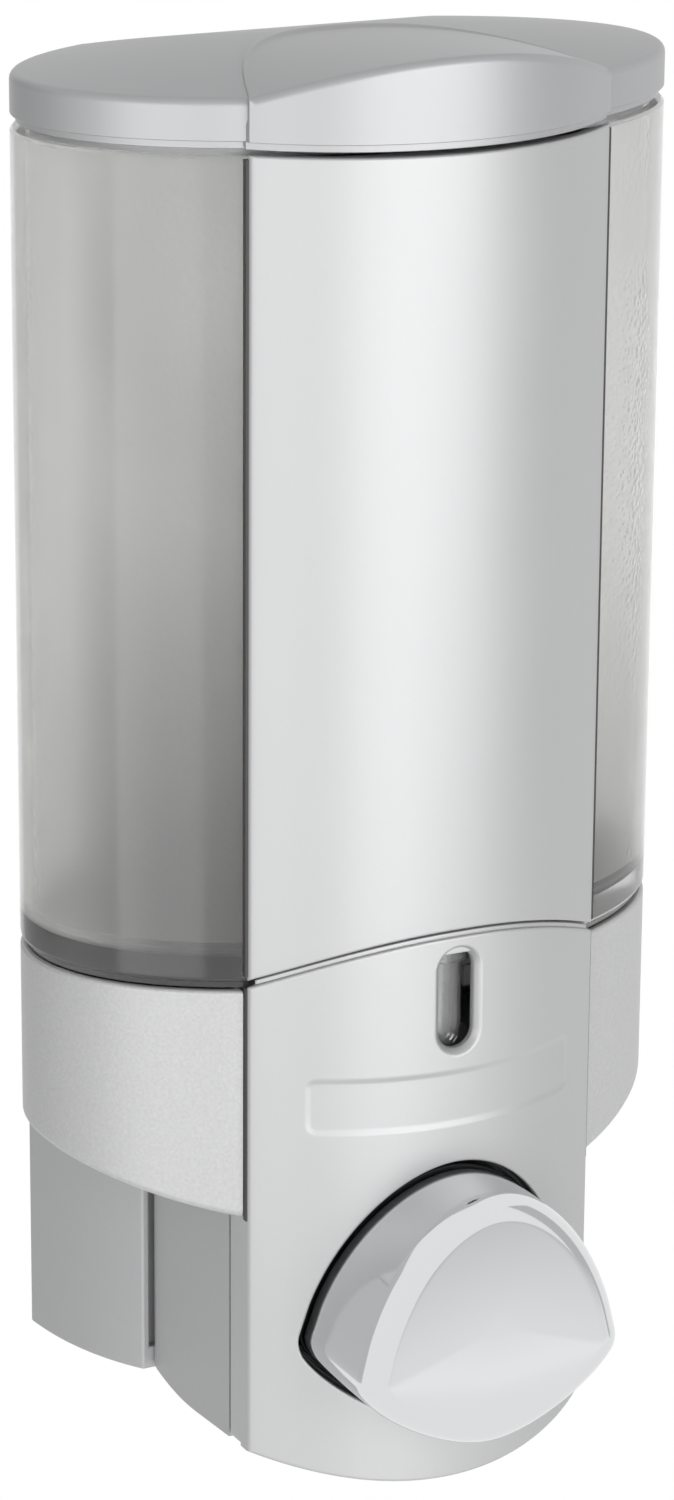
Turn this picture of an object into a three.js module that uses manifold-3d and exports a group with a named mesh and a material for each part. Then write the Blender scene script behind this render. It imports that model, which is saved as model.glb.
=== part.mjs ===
// Wall-hung shower dispenser: a clear oval bottle in a satin silver case, a hinged lid with a
// leaf-shaped crown, and a chromed push button that works a piston pump below the bottle.
// Millimetres, +Z up. X runs across the object, Y runs from its front (negative) to the wall.
import * as THREE from "three";
import { mergeVertices } from "three/addons/utils/BufferGeometryUtils.js";
import Module from "manifold-3d";

const wasm = await Module();
wasm.setup();

// Fits and overruns
const clearance = 0.3; // between parts that touch or slide
const hingeClearance = 0.2; // around the hinge pin
const seam = 0.7; // open line between the front covers and what they stand beside
const overrun = 5; // how far a cutting tool runs past what it cuts

// Facets: how finely the round shapes are drawn
const frontSteps = 36;
const rearSteps = 10;
const arcSteps = 24;
const roundSteps = 28;
const smallSteps = 12;
const filletSteps = 4;

// The oval that the bottle, the lid and the skirt share
const ovalHalfWidth = 49.1;
const ovalFront = 31.8;
const ovalRear = 30;
const rearFlat = 24;

// The curved front that the covers and the lid share
const faceHalfWidth = 27.8;
const faceCornerStand = 1.09; // how far the front's side edges stand out from the oval
const faceSag = 11;
const faceCornerDepth = faceCornerStand
  + ovalFront * Math.sqrt(1 - (faceHalfWidth / ovalHalfWidth) ** 2);
const faceRadius = (faceHalfWidth ** 2 + faceSag ** 2) / (2 * faceSag);
const faceCentre = faceRadius - faceCornerDepth - faceSag;
const inFront = -faceCornerDepth - faceSag - overrun; // clear of the covers' front

// Wall bracket
const bracketPlateThickness = 1.7;
const bracketPlateHalfWidth = 20;
const bracketPlateTop = 150;
const plateFront = rearFlat + clearance;
const plateBack = plateFront + bracketPlateThickness;
const tapeThickness = 1;
const wallPlane = plateBack + tapeThickness;
const shroudBottom = 1.5;
const shroudTop = 42;
const shroudWall = 2.2;
const shroudFront = 2.2;
const shroudFrontHalfWidth = 30.8;
const shroudRearHalfWidth = 38.6;
const shroudBulge = 12; // where the side curve's control point stands, in from the oval's centre
const shroudSteps = 8;
const tongueBottom = 74;
const tongueTop = 112;
const tongueDepth = 3;
const tongueRootHalfWidth = 8;
const tongueFlare = 2;
const tongueLead = 3;
const upperTapeHalfWidth = 17;
const upperTapeHeight = 70;
const upperTapeCentre = 110;
const lowerTapeHalfWidth = 28;
const lowerTapeHeight = 26;

// Bottle
const bottleBottom = 72;
const bottleTop = 189.7;
const bottleWall = 2.2;
const bottleFloor = 3;
const plinthHeight = 0.9;
const plinthInset = 2;
const neckRadius = 8;
const neckBore = 4.5;
const neckBottom = 60.5;
const grooveWall = 2.2;
const hingeReliefDepth = 1.4;

// Sight tube in front of the bottle
const sightRadius = 4.2;
const sightBore = 3;
const sightSetback = 8.3; // from the front's foremost line to the tube's middle
const sightCentre = sightSetback - faceCornerDepth - faceSag;
const sightBottom = 58.3;
const sightTop = 82;
const sightBossWall = 1.5;
const sightBossBottom = 77;
const sightBossTop = 88;
const sightHeadroom = 4;
const sightPortRadius = 1.6;

// Skirt below the bottle
const skirtTop = 70.8;
const skirtWall = 2;
const skirtFrontEdge = faceHalfWidth + seam;
const skirtRearLow = 44;
const skirtFrontLow = 35.6;
const skirtCurveStart = 6;
const skirtFrontReach = 26;
const skirtRearGap = 26;
const deckThickness = 3;
const deckBossRadius = 3;
const deckBossLength = 3;
const deckScrewInset = 5.8;
const deckScrewX = faceHalfWidth - deckScrewInset;
const deckScrewY = -12;

// Upper front cover and lower front panel
const coverWall = 2;
const coverTop = 190;
const coverRibX = 12;
const coverRibThickness = 1.4;
const coverRimHeight = 2;
const archPeak = 79;
const archRise = 6.9;
const archPower = 2.1;
const archGap = 1;
const smileDepth = 5;
const sideReturnDepth = 6;
const sideReturnTop = 66;
const labelInset = 6.8;
const labelHalfWidth = faceHalfWidth - labelInset;
const labelBottom = 50.3;
const labelTop = 58.2;
const labelDepth = 0.5;
const labelCorner = 1.2;
const slotHalfWidth = 2.75;
const slotHalfHeight = 7.4;
const slotCentre = 68.9;
const slotBevel = 1.5;
const slotBevelDepth = 1.3;
const postRadius = 2.6;
const postBore = 1.4;
const lowerPostInset = 5.4;
const lowerPostZ = 8.3;
const upperPostInset = 6;
const upperPostZ = 52;

// Shield-shaped button opening, in front view; its widths follow the panel's half width
const shieldTop = 44.3;
const shieldBottom = 4;
const shieldCornerShare = 0.777;
const shieldCornerTop = 19.6;
const shieldCornerLow = 15.6;
const shieldCornerReachShare = 0.799;
const shieldCrownReachShare = 0.342;
const shieldFlankShare = 0.673;
const shieldFlankZ = 33.9;
const shieldToeShare = 0.662;
const shieldToeZ = 10.5;
const shieldHeelReachShare = 0.27;
const shieldUpperSteps = 14;
const shieldCornerSteps = 4;
const shieldLowerSteps = 8;

// Button
const buttonGap = 1.7;
const buttonFace = -51.7;
const buttonFillet = 3.6;
const buttonWall = 2;
const buttonSkirtEnd = -27;
const buttonTravel = 11;
const pressedGap = 2;
const rodBossRadius = 5;
const rodRadius = 3;
const rodSeat = -47.7;
const sealWidth = 2.4;
const sealThickness = 1.2;

// Pump
const pumpAxis = 24;
const barrelShare = 0.396; // of the front's half width
const barrelWall = 1.5;
const barrelRadius = faceHalfWidth * barrelShare;
const barrelBore = barrelRadius - barrelWall;
const barrelRear = -2;
const barrelEnd = 2;
const barrelFront = -24;
const capRim = 2;
const capRadius = barrelRadius + capRim;
const capFront = -29;
const capWall = 2;
const capGuideRadius = 5.6;
const capGuideLength = 2;
const pistonGap = 0.8;
const pistonRadius = barrelBore - pistonGap;
const pistonLength = 3.6;
const pistonGrooveDepth = 1.5;
const pistonGrooveRadius = pistonRadius - pistonGrooveDepth;
const pistonGrooveWidth = 1.8;
const pistonSocket = 2.5;
const portY = -9;
const portBore = 2.4;
const inletRadius = 5;
const inletFlangeRadius = 7.5;
const inletFlangeThickness = 1.5;
const gasketThickness = 1.2;
const valveSeatRadius = 3.7;
const valveSeatDepth = 7.5;
const valveFlange = 1;
const valveLength = 5.6;
const valveBillThickness = 1.2;
const outletRadius = 4.6;
const outletBottom = 3;
const nutRadius = 11.5;
const nutLip = 1.7;
const nutFlutes = 16;
const nutFluteDepth = 0.7;
const nozzleTip = -4.5;
const nozzleTop = 7;
const nozzleWall = 1.5;
const nozzleTipRadius = 4.3;

// Pump housing
const housingWall = 2.2;
const housingFlare = 1.5;
const housingRear = 1.9;
const housingRearWall = 3.5;
const housingBottom = -0.2;
const housingFloor = 2.2;
const housingCorner = 2.5;
const housingHeelLength = 13;
const housingHeelRise = 3.3;
const housingTop = skirtTop - deckThickness - clearance;
const cradleWall = 1.8;
const cradleLength = 5;
const tabThickness = 2.5;
const tabLength = 8;
const tabReach = 9;

// Screws
const screwShank = 1.1;
const screwHead = 2.6;
const screwHeadHeight = 1.6;
const screwLength = 10;
const deckScrewLength = 6;

// Return spring
const springWire = 1.1;
const springRadius = 7.2;
const springCurls = 5;
const springStepsPerCurl = 8;
const springSides = 5;

// Lid
const lidBottom = 190.6;
const lidRim = 197.5;
const lidFillet = 1.2;
const lidLipInset = 0.8;
const lidLipHeight = 1.1;
const lidDome = 2.9;
const lidDomeShares = [0.84, 0.64, 0.4, 0.15];
const lidWall = 2.2;
const lidHollowTop = 194.5;
const ribBottom = 188.6;
const ribWall = 1.4;
const ribClearance = 0.6;
const ribRear = 17.3;
const crownRise = 5.5;
const crownPower = 2.1;
const crownRear = 3.5;
const crownRearPower = 2.6;
const crownStep = 1.1;
const crownAcross = 24;
const crownDeep = 6;

// Lid hinge
const hingeY = 21.2;
const hingeZ = 192.3;
const knuckleRadius = 2.9;
const knuckleHalfLength = 11;
const earThickness = 3;
const pinRadius = 1.5;
const earFoot = 8;

// A closed mesh as a solid, turned the right way out whichever way its profile ran.
function solid(geometry) {
  const bare = geometry.index ? geometry.toNonIndexed() : geometry.clone();
  bare.deleteAttribute("normal");
  bare.deleteAttribute("uv");
  const merged = mergeVertices(bare);
  const triVerts = new Uint32Array(merged.index.array);
  const vertProperties = merged.attributes.position.array;
  const made = new wasm.Manifold(new wasm.Mesh({ numProp: 3, vertProperties, triVerts }));
  if (made.volume() > 0) return made;
  for (let i = 0; i < triVerts.length; i += 3) {
    [triVerts[i + 1], triVerts[i + 2]] = [triVerts[i + 2], triVerts[i + 1]];
  }
  return new wasm.Manifold(new wasm.Mesh({ numProp: 3, vertProperties, triVerts }));
}

const join = (first, ...rest) => rest.reduce((whole, next) => whole.add(next), first);
const cut = (first, ...rest) => rest.reduce((whole, next) => whole.subtract(next), first);

function geometryOf(made) {
  const mesh = made.getMesh();
  const positions = new Float32Array(mesh.numVert * 3);
  for (let i = 0; i < mesh.numVert; i++) {
    positions.set(mesh.vertProperties.subarray(i * mesh.numProp, i * mesh.numProp + 3), i * 3);
  }
  const geometry = new THREE.BufferGeometry();
  geometry.setAttribute("position", new THREE.BufferAttribute(positions, 3));
  geometry.setIndex(new THREE.BufferAttribute(mesh.triVerts, 1));
  return geometry;
}

// Outlines extruded along each axis; an outline is given in the two other axes.
const extruded = (outline, depth) =>
  new THREE.ExtrudeGeometry(new THREE.Shape(outline), { depth, bevelEnabled: false });

const alongZ = (outline, from, to) =>
  solid(extruded(outline, to - from).translate(0, 0, from));

const alongY = (outline, from, to) =>
  solid(extruded(outline, to - from).rotateX(Math.PI / 2).translate(0, to, 0));

const alongX = (outline, from, to) => {
  const turn = new THREE.Matrix4().makeBasis(
    new THREE.Vector3(0, 1, 0),
    new THREE.Vector3(0, 0, 1),
    new THREE.Vector3(1, 0, 0),
  );
  return solid(extruded(outline, to - from).applyMatrix4(turn).translate(from, 0, 0));
};

const point = (a, b) => new THREE.Vector2(a, b);

function block(x0, x1, y0, y1, z0, z1) {
  const box = new THREE.BoxGeometry(x1 - x0, y1 - y0, z1 - z0);
  return solid(box.translate((x0 + x1) / 2, (y0 + y1) / 2, (z0 + z1) / 2));
}

// Turned pieces. A profile lists radius and height along the axis.
const turnedOnY = (profile, x, z, steps = roundSteps) =>
  solid(new THREE.LatheGeometry(profile.map(([r, h]) => point(r, h)), steps).translate(x, 0, z));

const turnedOnZ = (profile, x, y, steps = roundSteps) => {
  const lathe = new THREE.LatheGeometry(profile.map(([r, h]) => point(r, h)), steps);
  return solid(lathe.rotateX(Math.PI / 2).translate(x, y, 0));
};

const rod = (radius, from, to) => [[0, from], [radius, from], [radius, to], [0, to]];
const pipe = (outer, inner, from, to) =>
  [[inner, from], [outer, from], [outer, to], [inner, to], [inner, from]];

const rodOnX = (radius, from, to, y, z, steps = smallSteps) =>
  solid(new THREE.CylinderGeometry(radius, radius, to - from, steps)
    .rotateZ(Math.PI / 2).translate((from + to) / 2, y, z));

// A closed skin over a stack of rings that all have the same number of points.
function loft(rings) {
  const count = rings[0].length;
  const centres = [rings[0], rings[rings.length - 1]].map((ring) =>
    ring.reduce((sum, p) => sum.add(p), new THREE.Vector3()).divideScalar(count));
  const vertices = [...rings.flat(), ...centres];
  const foot = rings.length * count;
  const head = foot + 1;
  const last = (rings.length - 1) * count;
  const index = [];
  for (let i = 0; i < count; i++) {
    const j = (i + 1) % count;
    index.push(foot, j, i, head, last + i, last + j);
    for (let k = 0; k < last; k += count) {
      index.push(k + i, k + j, k + count + j, k + i, k + count + j, k + count + i);
    }
  }
  const geometry = new THREE.BufferGeometry().setFromPoints(vertices);
  geometry.setIndex(index);
  return solid(geometry);
}

// The shared oval, drawn in from its edge by an inset and cut flat at the rear.
function ovalOutline(inset, flat = rearFlat - inset) {
  const half = ovalHalfWidth - inset;
  const front = ovalFront - inset;
  const rear = ovalRear - inset;
  const turn = Math.asin(flat / rear);
  const outline = [];
  for (let i = 0; i <= frontSteps; i++) {
    const angle = Math.PI + (Math.PI * i) / frontSteps;
    outline.push(point(half * Math.cos(angle), front * Math.sin(angle)));
  }
  for (let i = 1; i <= rearSteps; i++) {
    const angle = (turn * i) / rearSteps;
    outline.push(point(half * Math.cos(angle), rear * Math.sin(angle)));
  }
  for (let i = rearSteps; i >= 1; i--) {
    const angle = (turn * i) / rearSteps;
    outline.push(point(-half * Math.cos(angle), rear * Math.sin(angle)));
  }
  return outline;
}

const oval = (inset, from, to, flat) => alongZ(ovalOutline(inset, flat), from, to);
const ringAt = (outline, z) => outline.map((p) => new THREE.Vector3(p.x, p.y, z));

// Depth of the curved front at a distance from the centre line.
const faceY = (x, inset = 0) => faceCentre - Math.sqrt((faceRadius - inset) ** 2 - x * x);

function faceBand(outerInset, innerInset, halfWidth) {
  const outline = [];
  for (let i = 0; i <= arcSteps; i++) {
    const x = halfWidth * ((2 * i) / arcSteps - 1);
    outline.push(point(x, faceY(x, outerInset)));
  }
  for (let i = arcSteps; i >= 0; i--) {
    const x = halfWidth * ((2 * i) / arcSteps - 1);
    outline.push(point(x, faceY(x, innerInset)));
  }
  return outline;
}

// The space behind the curved front, back to the middle of the object.
function behindFace(inset) {
  const outline = faceBand(inset, inset + coverWall, faceHalfWidth).slice(0, arcSteps + 1);
  outline.push(point(faceHalfWidth, 0), point(-faceHalfWidth, 0));
  return outline;
}

const archZ = (x) => archPeak - archRise * Math.abs(x / faceHalfWidth) ** archPower;
const smileZ = (x) => smileDepth * ((x / faceHalfWidth) ** 2 - 1);

// Front-view outline between a lower and an upper edge, each a function of x.
function between(lower, upper, halfWidth) {
  const outline = [];
  for (let i = 0; i <= arcSteps; i++) {
    const x = halfWidth * ((2 * i) / arcSteps - 1);
    outline.push(point(x, lower(x)));
  }
  for (let i = arcSteps; i >= 0; i--) {
    const x = halfWidth * ((2 * i) / arcSteps - 1);
    outline.push(point(x, upper(x)));
  }
  return outline;
}

// The shield outline of the button opening, as a smooth closed line in front view.
function shieldOutline() {
  const corner = point(faceHalfWidth * shieldCornerShare, shieldCornerTop);
  const flank = point(faceHalfWidth * shieldFlankShare, shieldFlankZ);
  const toe = point(faceHalfWidth * shieldToeShare, shieldToeZ);
  const under = point(toe.x + corner.x - flank.x, shieldCornerLow);
  const upper = new THREE.CubicBezierCurve(
    point(0, shieldTop),
    point(faceHalfWidth * shieldCrownReachShare, shieldTop),
    flank,
    corner,
  ).getPoints(shieldUpperSteps);
  const turn = new THREE.QuadraticBezierCurve(
    corner,
    point(faceHalfWidth * shieldCornerReachShare, (shieldCornerTop + shieldCornerLow) / 2),
    under,
  ).getPoints(shieldCornerSteps);
  const lower = new THREE.CubicBezierCurve(
    under,
    toe,
    point(faceHalfWidth * shieldHeelReachShare, shieldBottom),
    point(0, shieldBottom),
  ).getPoints(shieldLowerSteps);
  const right = [...upper, ...turn.slice(1), ...lower.slice(1)];
  const left = right.slice(1, -1).reverse().map((p) => point(-p.x, p.y));
  return [...right, ...left].reverse();
}

// Draws a convex outline in by a distance, each point along its own ray from the pump's axis.
function drawnIn(outline, distance) {
  const centre = point(0, pumpAxis);
  return outline.map((p) => {
    const ray = p.clone().sub(centre);
    const reaches = outline.map((from, i) => {
      const along = outline[(i + 1) % outline.length].clone().sub(from).normalize();
      const inward = point(-along.y, along.x);
      const rate = ray.dot(inward);
      return rate < 0 ? (from.clone().sub(centre).dot(inward) + distance) / rate : Infinity;
    });
    return centre.clone().addScaledVector(ray, Math.min(...reaches));
  });
}

const shield = shieldOutline();
const buttonOutline = drawnIn(shield, buttonGap);

// A slot with round ends, standing upright in front view.
function slotOutline(halfWidth, halfHeight) {
  const outline = [];
  for (const side of [1, -1]) {
    for (let i = 0; i <= smallSteps / 2; i++) {
      const angle = (Math.PI * 2 * i) / smallSteps;
      const x = side * halfWidth * Math.cos(angle);
      outline.push(point(x, side * (halfHeight - halfWidth + halfWidth * Math.sin(angle))));
    }
  }
  return outline;
}

function roundedRectangle(halfWidth, bottom, top, corner) {
  const shape = new THREE.Shape();
  shape.absarc(halfWidth - corner, bottom + corner, corner, -Math.PI / 2, 0);
  shape.absarc(halfWidth - corner, top - corner, corner, 0, Math.PI / 2);
  shape.absarc(corner - halfWidth, top - corner, corner, Math.PI / 2, Math.PI);
  shape.absarc(corner - halfWidth, bottom + corner, corner, Math.PI, Math.PI * 1.5);
  return shape.getPoints(filletSteps).slice(0, -1);
}

// Materials, by the finish that each piece has
const finish = (color, roughness, metalness, opacity = 1) => new THREE.MeshStandardMaterial(
  { color, roughness, metalness, opacity, transparent: opacity < 1 });

const satinSilver = finish(0xb9babc, 0.42, 0.35);
const satinLid = finish(0xa9abad, 0.4, 0.35);
const greySilver = finish(0xa6a8aa, 0.5, 0.3);
const frosted = finish(0xc9cbca, 0.35, 0, 0.55);
const clearPlastic = finish(0xe4e6e5, 0.08, 0, 0.35);
const chrome = finish(0xe6e8ea, 0.08, 1);
const blackRubber = finish(0x17181a, 0.7, 0);
const whiteRubber = finish(0xd8d6cf, 0.6, 0);
const whitePlastic = finish(0xe8e8e4, 0.4, 0);
const greyPlastic = finish(0x6f7274, 0.5, 0);
const steel = finish(0xb4b6b8, 0.3, 1);
const foamTape = finish(0xc8c9c6, 0.9, 0);

const dispenser = new THREE.Group();
const wallParts = new THREE.Group();
const bottleParts = new THREE.Group();
const caseParts = new THREE.Group();
const pumpParts = new THREE.Group();
const buttonParts = new THREE.Group();
const lidParts = new THREE.Group();
dispenser.add(wallParts, bottleParts, caseParts, pumpParts, buttonParts, lidParts);

function place(group, name, made, material) {
  const mesh = new THREE.Mesh(geometryOf(made), material);
  mesh.name = name;
  group.add(mesh);
}

// Wall bracket: a plate with a dovetail tongue, and a hollow foot that backs the pump housing
function shroudOutline(inset) {
  const side = new THREE.QuadraticBezierCurve(
    point(shroudFrontHalfWidth - inset, shroudFront + inset),
    point(shroudRearHalfWidth - inset - tapeThickness, shroudBulge),
    point(shroudRearHalfWidth - inset, plateBack),
  ).getPoints(shroudSteps);
  return [...side, ...side.map((p) => point(-p.x, p.y)).reverse()];
}

function tongueOutline(spread) {
  const root = tongueRootHalfWidth + spread;
  const tip = root + tongueFlare;
  const depth = tongueDepth + spread;
  return [
    point(-tip, plateFront - depth),
    point(tip, plateFront - depth),
    point(root, plateFront),
    point(-root, plateFront),
  ];
}

const shroudHollow = alongZ(shroudOutline(shroudWall), shroudBottom + shroudWall, shroudTop + overrun)
  .subtract(block(-ovalHalfWidth, ovalHalfWidth, plateFront, wallPlane, 0, bracketPlateTop));
const tongueFrontLead = alongX([
  point(plateFront - tongueDepth - overrun, tongueTop + overrun),
  point(plateFront - tongueDepth - overrun, tongueTop - tongueLead),
  point(plateFront - tongueDepth, tongueTop - tongueLead),
  point(plateFront, tongueTop),
  point(plateFront, tongueTop + overrun),
], -ovalHalfWidth, ovalHalfWidth);

place(wallParts, "wall_bracket", join(
  cut(alongZ(shroudOutline(0), shroudBottom, shroudTop), shroudHollow),
  block(-bracketPlateHalfWidth, bracketPlateHalfWidth, plateFront, plateBack, shroudBottom,
    bracketPlateTop),
  cut(alongZ(tongueOutline(0), tongueBottom, tongueTop), tongueFrontLead),
), greySilver);

const upperTapeBottom = upperTapeCentre - upperTapeHeight / 2;
place(wallParts, "upper_tape_pad", block(-upperTapeHalfWidth, upperTapeHalfWidth, plateBack,
  wallPlane, upperTapeBottom, upperTapeBottom + upperTapeHeight), foamTape);
const lowerTapeBottom = (shroudBottom + shroudTop - lowerTapeHeight) / 2;
place(wallParts, "lower_tape_pad", block(-lowerTapeHalfWidth, lowerTapeHalfWidth, plateBack,
  wallPlane, lowerTapeBottom, lowerTapeBottom + lowerTapeHeight), foamTape);

// Bottle: an open-topped oval shell with a dovetail groove, an outlet neck and two hinge ears
const cavityBottom = bottleBottom + bottleFloor;
const grooveTop = tongueTop + clearance;
const grooveHalfWidth = tongueRootHalfWidth + tongueFlare + clearance;
const grooveFront = plateFront - tongueDepth - clearance;
const sightBossRadius = sightRadius + clearance + sightBossWall;
const bottleWalls = join(
  cut(oval(0, bottleBottom, bottleTop), oval(bottleWall, cavityBottom, bottleTop + overrun)),
  oval(plinthInset, bottleBottom - plinthHeight, bottleBottom + bottleFloor),
  block(-grooveHalfWidth - grooveWall, grooveHalfWidth + grooveWall, grooveFront - grooveWall,
    rearFlat - bottleWall, bottleBottom, grooveTop + grooveWall),
  turnedOnZ(rod(sightBossRadius, sightBossBottom, sightBossTop), 0, sightCentre),
  turnedOnZ(rod(sightBossRadius, bottleBottom, sightBossTop), 0, sightCentre)
    .intersect(oval(0, bottleBottom, bottleTop)),
  turnedOnZ(rod(neckRadius, neckBottom, cavityBottom), 0, portY),
);

const earBottom = hingeZ - earFoot;
const earSides = [1, -1].map((side) => {
  const near = side * (knuckleHalfLength + clearance);
  const far = side * (knuckleHalfLength + clearance + earThickness);
  const [from, to] = [Math.min(near, far), Math.max(near, far)];
  return join(
    rodOnX(knuckleRadius, from, to, hingeY, hingeZ),
    block(from, to, hingeY - knuckleRadius / 2, rearFlat, earBottom, hingeZ),
  );
});
const hingeReach = knuckleHalfLength + clearance + earThickness;
const rearRelief = block(-ovalHalfWidth, ovalHalfWidth, hingeY - clearance, rearFlat + overrun,
  bottleTop - hingeReliefDepth, bottleTop + overrun);
const sightBoreTop = sightTop + sightHeadroom;

place(bottleParts, "reservoir", cut(
  join(cut(bottleWalls, rearRelief), ...earSides),
  alongZ(tongueOutline(clearance), bottleBottom - overrun, grooveTop),
  turnedOnZ(rod(neckBore, neckBottom - overrun, cavityBottom + overrun), 0, portY),
  turnedOnZ(rod(sightRadius + clearance, neckBottom, sightBoreTop), 0, sightCentre),
  turnedOnY(rod(sightPortRadius, sightCentre, sightCentre + sightBossRadius + overrun),
    0, sightBoreTop - sightPortRadius, smallSteps),
  rodOnX(pinRadius + hingeClearance, -ovalHalfWidth, ovalHalfWidth, hingeY, hingeZ),
), frosted);

place(bottleParts, "lid_hinge_pin",
  rodOnX(pinRadius, -hingeReach, hingeReach, hingeY, hingeZ), steel);

// Sight tube: a clear test tube that hangs from the bottle's front boss, behind the slot
const tubeOutside = [];
const tubeInside = [];
for (let i = 0; i <= filletSteps; i++) {
  const angle = (Math.PI / 2) * (i / filletSteps);
  const up = 1 - Math.cos(angle);
  tubeOutside.push([sightRadius * Math.sin(angle), sightBottom + sightRadius * up]);
  tubeInside.unshift([sightBore * Math.sin(angle), sightBottom + sightRadius - sightBore * (1 - up)]);
}
place(bottleParts, "sight_tube", turnedOnZ(
  [...tubeOutside, [sightRadius, sightTop], [sightBore, sightTop], ...tubeInside],
  0, sightCentre), clearPlastic);

// Skirt: the oval side wall and the deck that the bottle stands on
const skirtEdge = [];
for (let i = 0; i <= arcSteps; i++) {
  const y = -skirtFrontReach + (skirtFrontReach + skirtCurveStart) * (i / arcSteps);
  const share = (skirtCurveStart - y) / (skirtFrontReach + skirtCurveStart);
  skirtEdge.push(point(y, skirtRearLow - (skirtRearLow - skirtFrontLow) * share ** 2));
}
const belowSkirt = alongX([
  point(-ovalFront - overrun, skirtFrontLow),
  ...skirtEdge,
  point(rearFlat + overrun, skirtRearLow),
  point(rearFlat + overrun, -overrun),
  point(-ovalFront - overrun, -overrun),
], -ovalHalfWidth - overrun, ovalHalfWidth + overrun);
const deckBottom = skirtTop - deckThickness;
const skirtWallSolid = cut(
  oval(0, shroudBottom, skirtTop),
  oval(skirtWall, 0, skirtTop + overrun),
  belowSkirt,
  block(-skirtFrontEdge, skirtFrontEdge, -ovalFront - overrun, 0, 0, skirtTop + overrun),
  block(-skirtRearGap, skirtRearGap, 0, rearFlat + overrun, 0, skirtTop + overrun),
);
const deckPlate = join(
  oval(skirtWall / 2, deckBottom, skirtTop).subtract(block(-skirtFrontEdge, skirtFrontEdge,
    -ovalFront - overrun, -faceCornerDepth + sideReturnDepth + clearance, 0, skirtTop + overrun)),
  alongZ(behindFace(coverWall + seam), deckBottom, skirtTop)
    .intersect(oval(skirtWall / 2, deckBottom, skirtTop))
    .intersect(block(clearance + coverWall - faceHalfWidth, faceHalfWidth - coverWall - clearance,
      inFront, 0, deckBottom, skirtTop)),
);
const deckBosses = [1, -1].map((side) => turnedOnZ(
  rod(deckBossRadius, deckBottom - deckBossLength, skirtTop), side * deckScrewX, deckScrewY,
  smallSteps));
const deckHoles = [1, -1].map((side) => turnedOnZ(
  rod(postBore, deckBottom - deckBossLength - overrun, skirtTop - clearance),
  side * deckScrewX, deckScrewY, smallSteps));

place(caseParts, "base_skirt", cut(
  join(skirtWallSolid, deckPlate, ...deckBosses),
  ...deckHoles,
  turnedOnZ(rod(neckRadius + clearance, deckBottom - overrun, skirtTop + overrun), 0, portY),
  turnedOnZ(rod(sightRadius + seam, deckBottom - overrun, skirtTop + overrun), 0, sightCentre),
  block(-sightRadius - seam, sightRadius + seam, inFront, sightCentre, 0,
    skirtTop + overrun),
  alongZ(tongueOutline(clearance * 2), deckBottom - overrun, skirtTop + overrun),
), satinSilver);

// Upper front cover: a curved shell that stands in front of the bottle
const bottleEnvelope = oval(-clearance - seam / 2, sideReturnTop, coverTop + overrun);
const bossRoom = turnedOnZ(rod(sightBossRadius + clearance, 0, sightBossTop + clearance),
  0, sightCentre);
const coverSpace = alongY(
  between((x) => archZ(x) + archGap / 2, () => coverTop, faceHalfWidth), inFront, 0);
const coverRibs = [1, -1].map((side) => block(
  side * coverRibX - coverRibThickness / 2, side * coverRibX + coverRibThickness / 2,
  inFront, 0, archPeak + coverRimHeight, coverTop - coverRimHeight));
const coverRim = block(-faceHalfWidth + coverWall, faceHalfWidth - coverWall, inFront, 0,
  coverTop - coverRimHeight - clearance, coverTop - clearance);
const coverInside = alongZ(behindFace(coverWall / 2), 0, coverTop);
place(caseParts, "upper_front_cover", cut(
  join(
    alongZ(faceBand(0, coverWall, faceHalfWidth), 0, coverTop).intersect(coverSpace),
    join(...coverRibs, coverRim).intersect(coverInside),
  ),
  bottleEnvelope,
  bossRoom,
), satinSilver);

// Lower front panel: arched top, sight slot, bare label field and the button opening
const panelSpace = alongY(
  between(smileZ, (x) => archZ(x) - archGap / 2, faceHalfWidth), inFront, 0);
const panelShell = alongZ(faceBand(0, coverWall, faceHalfWidth), -smileDepth, archPeak)
  .intersect(panelSpace);
const returnRear = -faceCornerDepth + sideReturnDepth;
const sideReturns = [1, -1].map((side) => block(
  side > 0 ? faceHalfWidth - coverWall : -faceHalfWidth,
  side > 0 ? faceHalfWidth : coverWall - faceHalfWidth,
  -faceCornerDepth, returnRear, 0, sideReturnTop));
const labelField = alongZ(faceBand(-overrun, labelDepth, faceHalfWidth), 0, archPeak)
  .intersect(alongY(roundedRectangle(labelHalfWidth, labelBottom, labelTop, labelCorner),
    inFront, 0));
const slotRing = (spread, y) =>
  slotOutline(slotHalfWidth + spread, slotHalfHeight + spread)
    .map((p) => new THREE.Vector3(p.x, y, p.y + slotCentre));
const slotCut = loft([
  slotRing(slotBevel, -faceCornerDepth - faceSag - overrun),
  slotRing(slotBevel, -faceCornerDepth - faceSag),
  slotRing(0, -faceCornerDepth - faceSag + slotBevelDepth),
  slotRing(0, -faceCornerDepth),
]);
const lowerPostX = faceHalfWidth - lowerPostInset;
const upperPostX = faceHalfWidth - upperPostInset;
const postPlaces = [
  [lowerPostX, lowerPostZ], [-lowerPostX, lowerPostZ],
  [upperPostX, upperPostZ], [-upperPostX, upperPostZ],
];
const housingRearInside = housingRear - housingRearWall;
const postEnd = housingRearInside - clearance;
const postRoom = alongZ(behindFace(coverWall / 2), 0, archPeak);
const posts = postPlaces.map(([x, z]) =>
  turnedOnY(rod(postRadius, inFront, postEnd), x, z, smallSteps).intersect(postRoom));
const postBores = postPlaces.map(([x, z]) =>
  turnedOnY(rod(postBore, postEnd - screwLength, postEnd + overrun), x, z, smallSteps));

place(caseParts, "lower_front_panel", cut(
  join(panelShell, ...sideReturns, ...posts),
  labelField,
  slotCut,
  alongY(shield, inFront, -faceCornerDepth + overrun),
  bottleEnvelope,
  ...postBores,
), satinSilver);

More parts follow.
